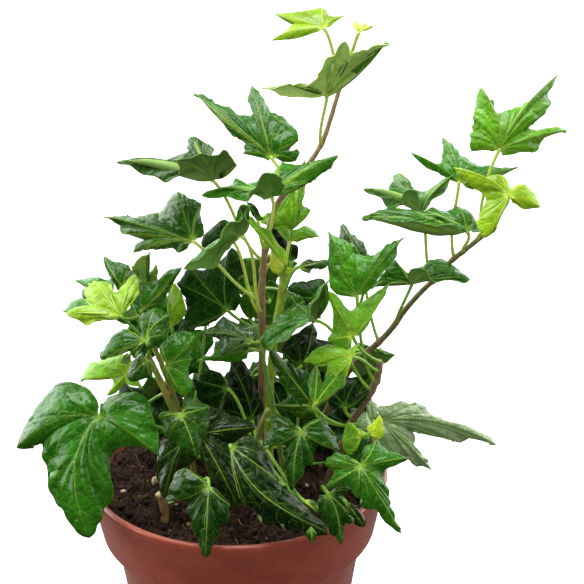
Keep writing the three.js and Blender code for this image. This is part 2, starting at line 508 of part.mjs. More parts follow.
function potSolid() {
  const turned = new THREE.LatheGeometry(potProfile(), POT.sides);
  turned.rotateX(Math.PI / 2);
  let pot = toManifold(turned);
  for (let i = 0; i < POT.holes; i += 1) {
    const angle = 2 * Math.PI * (i + 0.5) / POT.holes;
    const drill = new THREE.CylinderGeometry(POT.holeRadius, POT.holeRadius, 8, 16);
    drill.rotateX(Math.PI / 2);
    drill.translate(POT.holeRing * Math.cos(angle), POT.holeRing * Math.sin(angle), 0);
    pot = pot.subtract(toManifold(drill));
  }
  return pot;
}

function soilHeight(x, y) {
  const out = Math.hypot(x, y) / POT.bodyRadius;
  const lumps = Math.sin(0.31 * x + 1.3) * Math.cos(0.27 * y - 0.6) + 0.6 * Math.sin(0.53 * (x + y));
  return SOIL.edgeHeight + SOIL.crown * (1 - out * out) + SOIL.roughness * lumps * (1 - 0.6 * out);
}

function soilSolid(shoots, stubHole) {
  const { height, bandHeight, bandRadius, rimRadius, wall, bodyRadius, baseRadius, floor } = POT;
  const { edgeHeight, rings, sides } = SOIL;
  const shoulder = height - bandHeight;
  const slope = (rimRadius - bandRadius) / bandHeight;
  const edge = bandRadius - wall + slope * (edgeHeight - shoulder) - 2.5 * GAP;
  const levels = [
    [baseRadius - wall - 1.4, floor + GAP + 1],
    [bodyRadius - wall - 1.4, shoulder - 3.4],
    [bandRadius - wall - 1.2, shoulder + 2.2],
  ];
  const points = [new THREE.Vector3(0, 0, floor + GAP + 1)];
  const faces = [];
  const angleOf = (k) => 2 * Math.PI * k / sides;
  levels.forEach(([radius, z]) => {
    for (let k = 0; k < sides; k += 1) {
      points.push(new THREE.Vector3(radius * Math.cos(angleOf(k)), radius * Math.sin(angleOf(k)), z));
    }
  });
  for (let ring = rings; ring > 0; ring -= 1) {
    for (let k = 0; k < sides; k += 1) {
      const x = edge * ring / rings * Math.cos(angleOf(k));
      const y = edge * ring / rings * Math.sin(angleOf(k));
      points.push(new THREE.Vector3(x, y, soilHeight(x, y)));
    }
  }
  points.push(new THREE.Vector3(0, 0, soilHeight(0, 0)));
  const loops = levels.length + rings;
  for (let k = 0; k < sides; k += 1) {
    const next = (k + 1) % sides;
    faces.push(0, 1 + next, 1 + k);
    for (let loop = 0; loop < loops - 1; loop += 1) {
      const a = 1 + loop * sides + k;
      const b = 1 + loop * sides + next;
      faces.push(a, b, b + sides, a, b + sides, a + sides);
    }
    const last = 1 + (loops - 1) * sides;
    faces.push(last + k, last + next, points.length - 1);
  }
  let soil = solidFrom(points, faces).subtract(stubHole);
  shoots.forEach((shoot) => {
    soil = soil.subtract(shoot.clearance);
  });
  return soil;
}

function stubPoints() {
  const [top, foot] = [STUB.top, STUB.foot].map((text) => pathPoints(text)[0]);
  const down = foot.clone().sub(top).normalize();
  const bend = top.clone().lerp(foot, 0.5).add(new THREE.Vector3(0.8, 0, 0));
  return [foot.clone().addScaledVector(down, 12), foot, bend, top];
}

// ---- assembly ----
function piece(name, solid, color, roughness) {
  const material = new THREE.MeshStandardMaterial({ color, roughness, metalness: 0 });
  const mesh = new THREE.Mesh(toGeometry(solid), material);
  mesh.name = name;
  return mesh;
}

const plant = new THREE.Group();
const shoots = new Map(SHOOTS.map((shoot) => [shoot.name, grow(shoot)]));
addGrowth(shoots);

const stub = stubPoints();
const stubRadii = stub.map(() => STUB.radius);
const stubHole = rod(
  [stub[0].clone().add(new THREE.Vector3(0, 0, -GAP)), ...stub.slice(1)],
  stubRadii.map((r) => r + GAP), 8);

plant.add(piece('pot', potSolid(), '#b5604a', 0.45));
plant.add(piece('soil', soilSolid(shoots, stubHole), '#3b2418', 1));
plant.add(piece('stem_stub', rod(stub, stubRadii, 8), '#a07a5a', 0.8));
shoots.forEach((shoot) => plant.add(piece(shoot.name, shoot.solid, shoot.tone, 0.6)));
LEAVES.forEach((leaf) => {
  plant.add(piece(leaf.name, leafSolid(leaf, shoots.get(leaf.on[0])), leaf.tone, 0.35));
});

export default plant;
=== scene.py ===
# The looks of the potted ivy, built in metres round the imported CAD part.
#
# Shapes are worked out in millimetres in the part's own frame, +Z up and -Y towards the viewer,
# and scaled when a mesh is made. Shoots and leaves are placed as the part places them: from
# points px,py in a 584 x 584 picture and a depth, the distance in mm in front of the pot's axis.
import math
import re

import bpy
import numpy as np
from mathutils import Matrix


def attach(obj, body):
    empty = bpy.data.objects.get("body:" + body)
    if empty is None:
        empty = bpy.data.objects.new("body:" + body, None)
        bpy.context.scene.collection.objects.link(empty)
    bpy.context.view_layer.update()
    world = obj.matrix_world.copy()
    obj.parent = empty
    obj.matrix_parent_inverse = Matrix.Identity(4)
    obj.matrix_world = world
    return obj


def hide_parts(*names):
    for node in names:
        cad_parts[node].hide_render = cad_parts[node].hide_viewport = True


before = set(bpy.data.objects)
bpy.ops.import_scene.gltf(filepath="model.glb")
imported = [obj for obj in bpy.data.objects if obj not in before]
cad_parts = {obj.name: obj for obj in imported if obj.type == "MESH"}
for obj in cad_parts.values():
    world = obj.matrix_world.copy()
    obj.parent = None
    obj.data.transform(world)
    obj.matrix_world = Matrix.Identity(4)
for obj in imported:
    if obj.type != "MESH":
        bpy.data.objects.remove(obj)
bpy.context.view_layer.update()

# ---- the picture's camera, in mm ----
FOCAL = 1170.0                           # focal length in picture pixels
CENTRE = 292.0
PITCH = math.radians(21.8)
EYE = np.array([21.6, -412.1, 333.8])
VIEW = np.array([0.0, math.cos(PITCH), -math.sin(PITCH)])
VIEW_UP = np.array([0.0, math.sin(PITCH), math.cos(PITCH)])
RIGHT = np.array([1.0, 0.0, 0.0])
MM = 0.001

# greens of the leaves, from old and shaded to young
TONES = {
    "blackish": "#081206", "deep": "#0a2407", "bottle": "#113608", "ivy": "#18480a",
    "forest": "#20570c", "leaf": "#2a690e", "grass": "#34790f", "fresh": "#469114",
    "olive": "#649508", "soft": "#64a41c", "spring": "#7cba22", "lime": "#84ae0c",
    # the silvery underside tone below is painted brighter than the leaf, standing for light shining through
    # it
    "sunny": "#aed010", "primrose": "#d4dc48", "silver_glow": "#d2f088", "bluish": "#2a4c1e",
    # grey is partly the leaves' own grey-green and partly painted sheen, made paler for a whitish gloss
    "sage": "#5c8c48", "grey": "#88a26c",
}

# name, radius at the foot and at the tip in mm, and px,py,depth from the soil upwards
SHOOTS = [
    ("shoot_centre", 1.9, 0.75,
     "262,480,0 262,400,0 262,330,0 262,290,0 265,250,-1 270,225,-2 277,204,-3 291,187,-4 306,168,-4 "
     "322,143,-4 330,120,-4 337,97,-3 343,78,-3 349,57,-2"),
    ("shoot_lime", 1.7, 1.5,
     "270,484,8 269,430,8 270,380,8 274,340,8 278,315,8 283,288,8 283,268,8"),
    ("shoot_green", 1.4, 0.8,
     "286,490,16 279,440,16 272,400,16 266,372,15 260,347,14 255,326,13"),
    ("shoot_left", 1.5, 1.1,
     "186,504,12 184,460,14 176,420,15 166,394,16 158,376,16 152,364,16 148,356,16"),
    ("shoot_left_back", 1.3, 0.8,
     "196,492,0 190,450,2 180,414,5 172,390,7 163,368,8 154,346,8 147,330,8 141,316,8"),
    ("shoot_right", 1.9, 1.2,
     "322,502,9 338,456,10 353,420,10 364,403,9 371,392,8 378,374,6 380,362,5"),
    ("shoot_right_long", 1.7, 0.9,
     "298,476,-8 320,425,-12 348,372,-14 366,353,-14 380,341,-14 392,328,-14 405,310,-14 423,290,-13 "
     "436,278,-12 450,262,-10 465,250,-8 482,236,-6"),
    ("shoot_front", 1.5, 0.9,
     "266,496,18 264,478,22 258,450,26 260,430,28 268,409,31"),
]

# name, shoot, joint px,py, leaf base px,py, depth, facing as (compass, height) in degrees, slot, tone
# and outline. A word of an outline is px,py, with ^ at a lobe's tip, ~N for its vein's bend in
# hundredths and +N or -N for its lift in mm. Tones were matched to the picture by a fitting program.
LEAVES = [
    ("leaf_top", "shoot_centre", (343, 76), (324, 28), -2, (-20, 62), "leaf_young", "lime",
     "319,31 312,33 305,34.5 299,36.3 290,38.5 281,40 271,40.4^ 275.5,36.5 281,32.4 286.5,28.7 "
     "292,24.5 295.3,22.2 292,20 287.5,17.6 283,16.2 277,14.8 272.5,13.9^ 278,13.3 285,12 292,10.4 "
     "300,10 307,10 312.5,8.8 318,7 321.8,5.6^ 324,8.3 327.5,9.7 327.5,13.5 329.5,15.7 334.5,15.3 "
     "340,14.8 344.2,14.6^ 341,17.2 338,19.5 334.5,22.7 329,26.8"),
    ("leaf_top_underside", "shoot_centre", (322, 143), (327, 96.3), 2, (180, 42), "leaf_young", "silver_glow",
     "333,91.3 341,84.6 349,77.8 357,71 364,65 370.5,59.3 374,56.5 374,54 376.5,50.8 380,47.5 384,44.5 "
     "389.7,42.6^ 383,43 377,43.9 371.5,45.8 367.5,48 363,47.2 359,49 355,51 351.5,56 350,53 349.8,47 "
     "347.5,42.3 344.5,40.9^ 341.5,42.3 338,45.5 336,50 334.3,54 329,55.7 325,59.3 321.5,66 320,70.5 "
     "317,73.5 317,77 312,80.2 306.5,82.9 302,83.7 298,82.3 294,83.8 289,84.6 284.5,83.3 280,83.7 "
     "275.5,86 270,87.4 261,88.5^ 270,89.2 275,91 280.5,93.6 288,95.5 299,97 310,96.8 319,97"),
    ("leaf_upper_left_high", "shoot_centre", (294, 184), (271, 157), -9, (-10, 45), "leaf_mid", "leaf",
     "268.5,160.5 264,158.5 259.5,157.5 255,155.5 249.5,153.8 242,152.5^ 245,148.5 242.5,147 245,143 "
     "244,141.7 239,138.7 234.5,135 230,132 226,127.5 221,120.7 215,112.5 210.5,105 207,101.5 201,97.5 "
     "193.5,92.8^ 200,92.6 206,96 210,98.8 212,102 218,102 224,105.7 230,106.8 234.5,111 240.5,114 "
     "245,113.7 250,115.2 252.5,115 251.5,106.5 250,101.5 248,99 249.5,91.5 250.6,83^ 255.5,87.7 "
     "260,93 264.5,99.7 268,105 269.7,110 275,112.5 278,115.5 284,115.2 287,120.7 291.5,123.7 "
     "296,128.2 298.2,135 298.6,140.3^ 295,143 291,145.5 289,149 290.5,152 294.5,152.5 298.8,149.8 "
     "300,152.5 298,156.5 296,160.4^ 290,161 282,161.3"),
    ("leaf_upper_left_long", "shoot_centre", (264, 262), (213, 180), 3, None, "leaf_mid", "ivy",
     "230,170+4 237,165.5^+7 234,157+6 230,152+6 224,150+7 218,152.5+8 208,152.5+9 197,153+10 "
     "186,156+12 176,160.5^+12 179,168+9 176,175+8 168,177.5+7 158,176+6 147,172.5+4 135,167.5+2 "
     "116.3,160.3^ 127,158.8-1 140,158.6-3 145.5,161.2-3 151,160-4 160,159-6 165,158.9-7 170.5,155.7-8 "
     "177,152.7-9 184,152.2-10 189,150-10 186.3,145-12 187.8,138-14 191.7,135.7^-16 197,137.3-14 "
     "201.5,141-12 207.5,143.3-10 213,148.3-7"),
    ("leaf_upper_left_low", "shoot_centre", (262, 300), (193, 241), 12, (-25, 50), "leaf_mid", "forest",
     "187,248 181.5,250.8 175,250.5 173,247.5 162,248.2 150,248.3 140,249.7 131.5,251.3^ 135,245.5 "
     "140,240.8 148,236.8 144,237 138.5,235.6 132.5,234 126,233.6 121.5,233.2^ 119.7,230.5 119,225 "
     "113,221 102.7,215.7^ 110,214.8 117.5,215.2 124.5,215.3 128.5,216.8 132.5,217.4 137.5,214.6 "
     "141,215.8 146,213 151,212 156,210.3 162.5,206.8 168,199.3 171,193.5 176.7,189.3^ 182,192.8 "
     "185,195 189.5,197.3 195.5,198.8 201.4,202.8^ 199.6,208.5 200,214.5 201,220.5 203.2,225 203.3,233 "
     "201,237"),
    ("leaf_upper_middle", "shoot_centre", (265, 250), (271.8, 196.5), 8, None, "leaf_mid", "grass",
     "281,190+5 286,186+7 282,178+10 275,171.5+12 268,169.3+12 262,172.5+12 258,179.5+10 252,187+8 "
     "248,194+6 247,198.5+5 240,196.8+4 227,196.2+3 214,195+2 201,195^+1 206,191.3-1 211,189.5-2 "
     "217,188.7-3 221,186-4 229,184.5-6 232.5,182.5-7 235.5,177.5^-8 238,181-7 240.5,186.5-6 "
     "245,182.5-7 250,180.7-8 257,180-9 266,174-11 276,170-13 282.3,161^-14 287,163.4-14 294,163.4-13 "
     "300,162.7-12 305,161-11 311,164-10 315.5,161.2-9 320,160.3-8 323,157.5-7 329,155.8-7 "
     "337.5,154.3^-6 338.5,157-5 335,160.5-5 332,165-4 326,168-3 321.5,171-2 317.8,174.8-1 316,179+0 "
     "311,180+0 307.5,179.3+1 302,181.8+2 296,184+3 290,187+3"),
    ("leaf_middle_curled", "shoot_centre", (262, 312), (241, 236), 14, None, "leaf_mid", "grass",
     "247,229+4 249,221+5 247,213+6 250,206^+6 244,204+6 239.5,206+6 239,213+6 237,219+6 230,220.5+7 "
     "224,226+7 219,233+7 214.5,242+7 208,248+7 201,254+6 193,260+4 183,268^+2 192,268.5+0 201,268.5-1 "
     "209,267.5-2 215,262.5-3 220,257.5-3 226,248-3 233,240-2"),
    ("leaf_middle_dark", "shoot_centre", (261, 315), (232, 240), -1, (-20, 32), "leaf_dark", "bottle",
     "213,246 207,250 203,250^ 201,243 204,234 210,227 217,222 225,219.5^ 231,223 233,231"),
    ("leaf_centre_upright", "shoot_centre", (263, 272), (290, 232), -6, (0, 25), "leaf_mid", "spring",
     "279,229 270,226.5 260.5,222.8^ 261,217 267,212.8 272,213.5 275,204 282,198 288,189 294,180 "
     "299,170 305.5,158^ 306,168 305.5,180 305,190 302,199.5 303.5,206 307,207 311,210.6^ 306.5,217 "
     "302,221.5 298,225.5"),
    ("leaf_right_top", "shoot_right_long", (481, 237), (499.5, 149.5), -4, (10, 35), "leaf_mid", "soft",
     "493,151.5 486,150 479,150 472,150.3^ 469.6,145.5 471,138 469.6,133 474,129.5 472.4,125 474.7,121 "
     "472.6,117.5 473.5,114 476.5,104.5 477.5,95 480,87^ 483.5,89 486.5,93 489.5,96 492,99.8 "
     "491.3,104.3 494.8,106.3 495.2,109.5 498,111.7 501,112.6 504.5,111.2 507,110.8 510,108.7 513,108 "
     "516,106.2 519.5,106 522.5,104.2 526,101.6 531,100.4 535,99.3 539,97.7 541.3,96.5 544,92.8 "
     "547,89.4 549.5,87 552,83.5 554.8,79.3 558.6,73.4^~6 555.7,80 553,85.2 550.8,90 549.4,93 549,96.5 "
     "551,98.5 552.6,102 551.5,104.6 548.7,107.5 546.5,110 546.2,112.5 544,115 538,119.3 532,124 "
     "528.8,127 530.5,129.3 534,129.4 538,129.2 543,127.8 549,126.7 555,126.5 559,126.8 564,128.6 "
     "567.4,130.9^ 561,130.8 555.7,131.6 550,133.7 546,136.4 542,142 539.7,147.5 537,151 533.5,151.7 "
     "526.6,150.8 518,152.5 510,154 503,155.5"),
    ("leaf_right_high", "shoot_right_long", (455, 258), (459, 182), -9, (0, 48), "leaf_mid", "grass",
     "452,179 443.5,175.3 435,171.5 428,167.5 421,162 414.5,157.2 410,152.5^ 415,154.8 421.5,158 "
     "429.7,160.8 436,162.7 440.5,162 442.3,158 441.5,155.5 443,151 443,145 442,140.5 442.5,135.5^ "
     "446.5,138.5 450.5,142 454,146.2 457.5,149.8 460.2,153 465.7,155.8 470,158 474,160.6 477.5,164 "
     "481,165.5 487,164.8 494,165.5 502,165.2 507,166.2 511.5,168 518.3,167.7^ 511,169.3 505,171 "
     "499,172.5 493,173.2 488,174.6 484.4,178 479,180.5 478,184 475.5,188 472.6,190^ 466,187"),
    ("leaf_right_lime", "shoot_right_long", (478, 240), (508, 195), 7, (15, 40), "leaf_young", "lime",
     "508.5,204 505.5,208.5 503,212.5 499,219.5 496,226 494.2,231.5 491.5,234 488.5,236.5 485,238.2^ "
     "482.5,236 480.5,232 478,227.5 476.5,222 479.5,217.5 482,210 484.4,205 486,200 484.5,195.5 "
     "479,190 473,187 466,181 460,175 453.5,166.5^ 460,169 467,172.5 474,175 481,178 486,177.5 "
     "490,175.5 496,174.3 502,175^ 507,177.5 510,183 510.3,188 511.5,188.5 515.5,185.5 521,184 "
     "525.5,183.5^ 531,188 535,192.5 537,198.5 539,203 541,207.5^ 533.5,207.8 525,209 520.5,207.5 "
     "516.5,204.2 512.5,202.5"),
    ("leaf_right_mid", "shoot_right_long", (432, 282), (421.5, 212.4), -7, None, "leaf_mid", "sage",
     "417,189+8 410,189+9 403,190.5^+9 400.5,196+7 400,204+5 396,203+4 391,206+4 386,203.5+4 382,199+3 "
     "375.5,194.5+3 364,188^+2 372,188.2+1 380,189-1 385,191-2 391,191-3 388.3,187.5-4 390.5,184-5 "
     "393.5,180-6 394,175-8 399.5,172^-9 403,175-8 407,178-7 410,181-6 413,188-4 421,191-3 430,188.3-2 "
     "436,184.5-1 442,179.5-1 448,176+0 454,173^+1 450.5,179.5+1 447,185+2 441,191.5+2 435,197+2 "
     "430.5,203+2 427,209+1"),
    ("leaf_right_flat", "shoot_right_long", (463, 252), (467, 231), 6, None, "leaf_mid", "leaf",
     "461,229+4 455,226.5+4 447,224+5 438,223+5 424,222+5 410,220+5 396,218.5+4 382,218.8+3 "
     "361.6,217.6^ 369,214.5+0 376,211-1 383,209-2 390,206.5-3 396,206-3 400.5,209-3 406,212-4 "
     "414,214.5-5 421,213.5-6 425.5,209.5-8 432,207^-9 438,208.5-8 445,209.3-8 451,207.5-9 "
     "457,206.3^-10 465,207.5-10 471,209.5-9 474.5,214-8 475,219-6 479,222-4 480,228-1 474,231+2"),
    ("leaf_right_middle", "shoot_right", (375, 384), (357, 296), 12, (0, 35), "leaf_mid", "fresh",
     "351,295.7 344,295 338,294.5 334,291.5 330,287^ 328.8,281 329.3,275 328,268 327.8,260 328.5,253 "
     "329.3,249 328.3,244 328.8,239 327.6,230.8^ 332,232.8 336,235.2 340,238.2 344,239.8 347,241.8 "
     "352,242.5 354.2,245 353.7,248.5 355,251.7 358,254 363,255.5 368,255.8 372,254.8 376,252.5 "
     "380,250.5 383,247.5 386.5,244.8 391.5,242.2 397,239.6 404,237^ 401.5,241 398,245 397,248.5 "
     "398,252.5 396,257 393,261 389,265 385,269.3 381,275.3 377,280.5 373,285.5 369.5,290 364.5,294.3"),
    ("leaf_right_back", "shoot_right_long", (352, 368), (366, 264), -12, (0, 40), "leaf_grey", "bluish",
     "350,250 344,243 339.5,237 339.2,233 340,229.5 340.2,225.5 343.5,224^ 346.5,225.5 348.5,229 "
     "351,233 355,234.5 357,238.5 361,240.2 364,243^ 365.3,247 367,251.5 371,256"),
    ("leaf_right_low", "shoot_right_long", (396, 323), (412, 284), 0, None, "leaf_mid", "leaf",
     "405,281.5+1 399,281.2+1 395,283+2 390,281+2 383,280+2 377,284+2 371,288.5^+2 373,284+1 378,279+0 "
     "382,275-1 384.5,271.5-1 388,266.5-2 392,262-3 395.5,259.5^-3 396.5,263-3 398,267.2-3 402,267-3 "
     "406,269.5-3 405.5,272.5-3 409,272-4 414,270-5 421,266.5-6 425,262.5-7 430,258.7^-8 435,259.2-8 "
     "440,258.2-9 445,258.8-9 450,260.8-8 454,263.5-7 458,267.5-6 461,271.5-5 466,274.5-3 "
     "470.7,278.7^-2 464,280-1 455,279.3+0 444,278.7+1 437,279.2+2 431,277+4 427,271+6 422,267+7 "
     "417,265.5+7 411,267.5^+7 409,273+5"),
    ("leaf_lime_middle", "shoot_right", (380, 363), (353, 336), 18, (10, 25), "leaf_young", "soft",
     "351,344 346,349.5^ 342,347 336.5,344.8 330,342.5 327,339.3^ 329,336 332,332.5 333,326 333,316 "
     "332.3,308 330.3,302 327.8,297 327.8,290.5^ 331.5,292.3 336,294 338,296.6 341,299 343.5,303 "
     "346,307.3 349,309.9 352,310.3 356,307 360,304.3 364,301 369,297.5 375,293 381,289 385,285.8 "
     "389.5,283.6^ 388,288 385,293 382,298 379,303 376,308.5 373,314.5 370.5,320 368,326 363,332 "
     "358.5,336"),
    ("leaf_pale_middle", "shoot_right", (379, 370), (353, 357), 22, (-5, 38), "leaf_young", "spring",
     "350,367 346,378^ 341,372 336,378 330,384 325,391^ 325.5,383 324.5,376 326.5,370 327,364.5 "
     "323.5,362.5 319,364.5 314,364 310,362.5 304.2,363^ 304,361 306.5,357.7 310,354 314,350 318,348 "
     "323,346 328,344 333,344.5 339,344 346,349 352,347 358,344^ 357,350"),
    ("leaf_lime_left", "shoot_left_back", (141, 316), (120.8, 316.5), 16, (-20, 45), "leaf_young", "lime",
     "112,318.5+2 104,319.5+3 96,320.5+4 90,322.5+5 85,324^+5 82,322+5 76,319+6 70,317+6 65.5,313^+6 "
     "70,309.5+6 78,306+5 88,305.5+3 94,306.5+2 87,304+0 86.5,301-1 84,292-2 84,281.5^-3 90,281-3 "
     "97,281-2 103,281-2 109,284-1 112,288 115,292 118,290 123,284-1 129,278-2 136,273.5^-3 138,280-2 "
     "139,287-2 138,292-1 134,297 130,304+1 125,311+1"),
    ("leaf_left_wings", "shoot_left", (149, 356), (145, 340.8), 25, (-10, 48), "leaf_mid", "forest",
     "138,351 133,358 130,351 124,351 117,353.5 109,356.5 101,360^ 99,355 98.5,350.5 102,351 105,345 "
     "110,338.5 116,332 120,328.5 124,328^ 130,330 135,333 139,334.5 141,330 139.5,322 140.5,313 "
     "146,310.5 155,308^ 160,308.5 166,311 172,312.5^ 170,317 168.5,323 168.5,331 167,338 162,341.5 "
     "157,345 150,348.5 147,349.5"),
    ("leaf_left_bright", "shoot_left", (154, 369), (128, 373), 10, (-20, 45), "leaf_young", "spring",
     "136,376 139,381 143,389^ 137,386 130,385.5 124,382.5 121.5,386 118,390 112,394.5 106.5,396^ "
     "109,391 112,386 112.5,380 108,376.5 100,375 91,375.5 85,378 79.5,381^ 82,375 86,369 91,362.5 "
     "98,360.5 106,358 114,355.5 122,353.5^ 129,357 133,363"),
    ("leaf_left_round", "shoot_left", (160, 381), (147, 361), 21, (-10, 40), "leaf_dark", "ivy",
     "150,367 152,373 153,380^ 146,378.5 140,380 135,381.5 130,381 126.5,378^ 126,373 129,367 133,360 "
     "138,355 142,352"),
    ("leaf_left_inner", "shoot_left_back", (168, 380), (166, 366), 21, (10, 35), "leaf_mid", "grass",
     "163,358 161,350 160,343^ 165,338.5 171,335 178,331.5 186,330 194,329 202,329^ 200,337 197,344 "
     "192,348 188,349.5 188,353 193,359^ 190,364 188,370 190,376 193,382 192.5,390 188,393 183,396^ "
     "177,392.5 172,385 168,375"),
    ("leaf_left_point", "shoot_left_back", (158, 356), (124, 288), 1, (-15, 40), "leaf_mid", "forest",
     "117,290 114,284 111,278 107,272 105,266 103,261 104,256^ 109,258.5 116,261 122,263 129,265^ "
     "130,269 134,270 139,271.5^ 138,277 132,284"),
    ("leaf_left_glossy", "shoot_left_back", (145, 326), (141, 311), 11, (-5, 40), "leaf_mid", "leaf",
     "140,303 140,296 139,289 138,281^ 144,282 150,282 156,280.5 160,276 165,271.5 171,269 177,267.5 "
     "182,266^ 180,272 176,278 171,286 167,293 166,299 160,303^ 155,306 149,309"),
    ("leaf_left_folded", "shoot_left_back", (180, 414), (171, 326), 12, (-35, 15), "leaf_young", "olive",
     "171,322 171,315 172,307 171,301 170,296 169,291 170,286 173.5,283^ 177,287 181,293 183.5,300 "
     "185,308 185,313 182,319^ 178,323"),
    ("leaf_centre_large", "shoot_centre", (262, 330), (227.3, 310), 8, (-5, 30), "leaf_dark", "bottle",
     "219,317 212,322.5 205,325.5 197,326.5 188,328.5 176,333^ 180,325 184,318 186,311 185.5,302 "
     "182,293 179,288 176,283^ 181,278 184,272 190,268^ 199,269.5 207,268.5 214,267 220,261 226,254 "
     "232,247^ 237,251 240,258 241,265 243,272 239,279 237.5,285 239,292 241,299 238,306 235,311"),
    ("leaf_centre_grey", "shoot_green", (258, 340), (252, 342), 23, (-15, 45), "leaf_grey", "bluish",
     "247,350 240,351 232,352 226,354 222,356^ 220,351 219.5,345 219,340 214,336.5 208,336.5 203,334^ "
     "206,330 211,326 217,321 223,316^ 227,318 232,321.5 238,323 245,323 250,325^ 255,330 256,336"),
    ("leaf_centre_low", "shoot_green", (261, 350), (250, 349), 17, (-10, 40), "leaf_dark", "grass",
     "247,358 240,360 233,361 226,361.5 218,361 210,360.5 203,360 196,361^ 197,358.5 203,357.5 210,357 "
     "213,354 214,348 215,341^ 222,340 232,343"),
    ("leaf_centre_heart", "shoot_front", (250, 462), (228, 389), 12, (-5, 30), "leaf_dark", "deep",
     "224,399 218.5,409^ 211,406.5 203,403 198,399.5 196.5,392 192,379^ 197.5,380.8 198,377.5 202,373 "
     "208,370.5 215,370.5 221,373^ 224,378 226,383"),
    ("leaf_centre_deep", "shoot_front", (252, 446), (252, 421), 12, (0, 35), "leaf_dark", "blackish",
     "243,420 232,415 222,409^ 223.5,400 224,392 227,384 228,376 230,368 230,362^ 236,359 243,360 "
     "247,367 251,375 255,384 259,393 262,400^ 264,410"),
    ("leaf_centre_folded", "shoot_right", (371, 392), (315, 320), 20, None, "leaf_mid", "leaf",
     "322,308+6 327,293+7 329,280^+8 322,286+10 315,294+11 310,304+12 305,318+12 296,327+12 285,336+10 "
     "275,344+8 268,350^+6 262,345+2 261,335-1 266,327-3 273,319-5 280,312-8 288,306-10 295,302^-12 "
     "302,304-12 308,306-9"),
    ("leaf_front_left", "shoot_left", (178, 430), (98.8, 416.4), 26, (-20, 33), "leaf_dark", "leaf",
     "101.2,411.6 104.4,400.4 112.4,394.8 126.8,391.6 138,392.4 147.6,402 150.8,411.6 154,421.2 "
     "156.4,430.8 159.6,457.2^~7 150.8,451.6 141.2,446.8 131.6,446 120.4,447.6 112.4,451.6 108.4,459.6 "
     "109,469 111,480 112,488.4 110,501.2 102.8,509.2 102,518.8 96.4,525.2 93.2,533.2 88.4,538.3^~-12 "
     "80.4,535.6 69.2,525.2 65.2,519.6 62.8,510.8 54.8,504.4 49.2,493.2 46,480.4 44.4,466 41.2,456.4 "
     "40.4,443.6 29.2,448.4 22.8,449.2 16.4,448.4^~-9 17.2,438.8 22.8,426 30.8,414.8 37.2,402 "
     "46.8,390.8 58,382.8 67.6,381.2 78.8,384.4 88.4,389.2 94.8,397.2 98.3,406.8"),
    ("leaf_front_heart", "shoot_left", (180, 440), (180, 414.5), 30, (5, 40), "leaf_mid", "ivy",
     "184,407.5 188,404 193,402.5 200,402 206,404 209.5,407^ 210,416 209,424 207.5,431 205,438 "
     "202.5,442 201,448 198.5,454 196.5,457.5^ 194,455 190,453 184,450.5 180.5,448 177,444 172,440 "
     "167,438.5 164,433 163,426 161,421 158,417^ 160,413.5 164,411.5 170,411 175,411.5"),
    ("leaf_front_shadow", "shoot_left", (184, 462), (186, 438), 20, (0, 35), "leaf_dark", "bottle",
     "200,446 199,455 192,463 185,467.5 178,469 174,475 172,483 170.5,490 167,495.5 164,498^ 161,495 "
     "159.5,488 158,478 157.5,468 157,461^ 158.5,452 160,443 165,439 174,436"),
    ("leaf_front_lower", "shoot_left", (185, 490), (208.5, 486), 53, (-5, 30), "leaf_dark", "bottle",
     "213,487 217,490 221,495 226,498.5 229,502 230.5,506^ 228.5,509 230,513 229.5,518 226,522 "
     "222,523.5 219.5,526 219.5,531 218.5,537 216,538.5 214,543 211.5,548 211,553 208.5,556 "
     "205.5,558^~2 203.5,557 201,553 199.5,547 198,540 196,535 193,532 191,527 191.5,521 189,516 "
     "186,511 187,505 184,498.5 179,498.5 173,501 167,503.5^ 165,500 168,492 171,484 173.5,476 "
     "178,470.5 184,468^ 190,470 197,474 203,480"),
    ("leaf_front_dark", "shoot_front", (250, 455), (200, 434), 29, (0, 38), "leaf_dark", "deep",
     "209.5,406 214,406.5 219,409 222.5,410 225,413 230,416.5 236,416 243,418 250,421 254.5,424 "
     "256,427^ 254,430.5 250,432 245,435 240,438 235,441 230,444 229.5,448 231,452 233,458 235.5,463 "
     "237.5,468 237.5,472 236,476 240,480 241.5,485 242.5,492 242.5,498 241.5,504 239,508^ 234,508 "
     "231,506.5 228,503 222,495 212,480 204,465 198,450"),
    ("leaf_front_bottom", "shoot_front", (250, 452), (231, 447), 44, (5, 33), "leaf_dark", "deep",
     "236,441 243,437 250,434.5 254,436 258,443 262,448.5 266,452 268,455 270,461 273,466 273,471 "
     "275,476 278,481 283,485.5^ 286,487 290,492 294,496 299,499.5 303,504 309,509 314,514 319,519 "
     "324,523 327,527 328,532^~-12 328,535 324,535.5 318,535 310,533.5 305,532.5 300,531 295,529.5 "
     "291,531 287,529.5 284,527 283,524 279,522.5 275,523 272,525.5 268,526 264,524.5 262,521 263,519 "
     "260,514 255,509.5 250,507 246,506^ 242.5,503 240,495 238.5,485 236,476 233,465 230.5,455"),
    ("leaf_front_star", "shoot_front", (262, 416), (301, 431.5), 38, (0, 35), "leaf_dark", "ivy",
     "303,427 306,423 311,421 317,419 323,417 325,418^ 327,422 329,427 331,432 334,435 337,440 338,446 "
     "340,451^ 336,449.5 331,446 326,444 320,443.5 317,446 315,450 313.5,455 314,460 311,464 306,466 "
     "304.5,470 303,475 299,480 296,485 293,490.5^ 291,490 289,486 287.5,481 286,475 286,470 282.5,467 "
     "284,462 285,458 283,454 285,449 285,445 281,442.5 276,443.3 271,445.7 266,447 261.8,450.3^ "
     "262,446 264,439 268,432 272,427 273,423 270,420 266,419^ 269,416 276,414.5 284,417 291,421 "
     "296,425"),
    ("leaf_front_two_tone", "shoot_right", (350, 426), (313.5, 405.8), 30, (0, 30), "leaf_mid", "ivy",
     "316,411 314,416.5 309,419 303,419.5 297,417 291,412.5 284,409.5 277,407 271,405.5^ 277,403.5 "
     "284,401.5 288,398 286,391 282,384 278,377 274,368 271,359 269,348^ 274,350.5 279,354 283,360 "
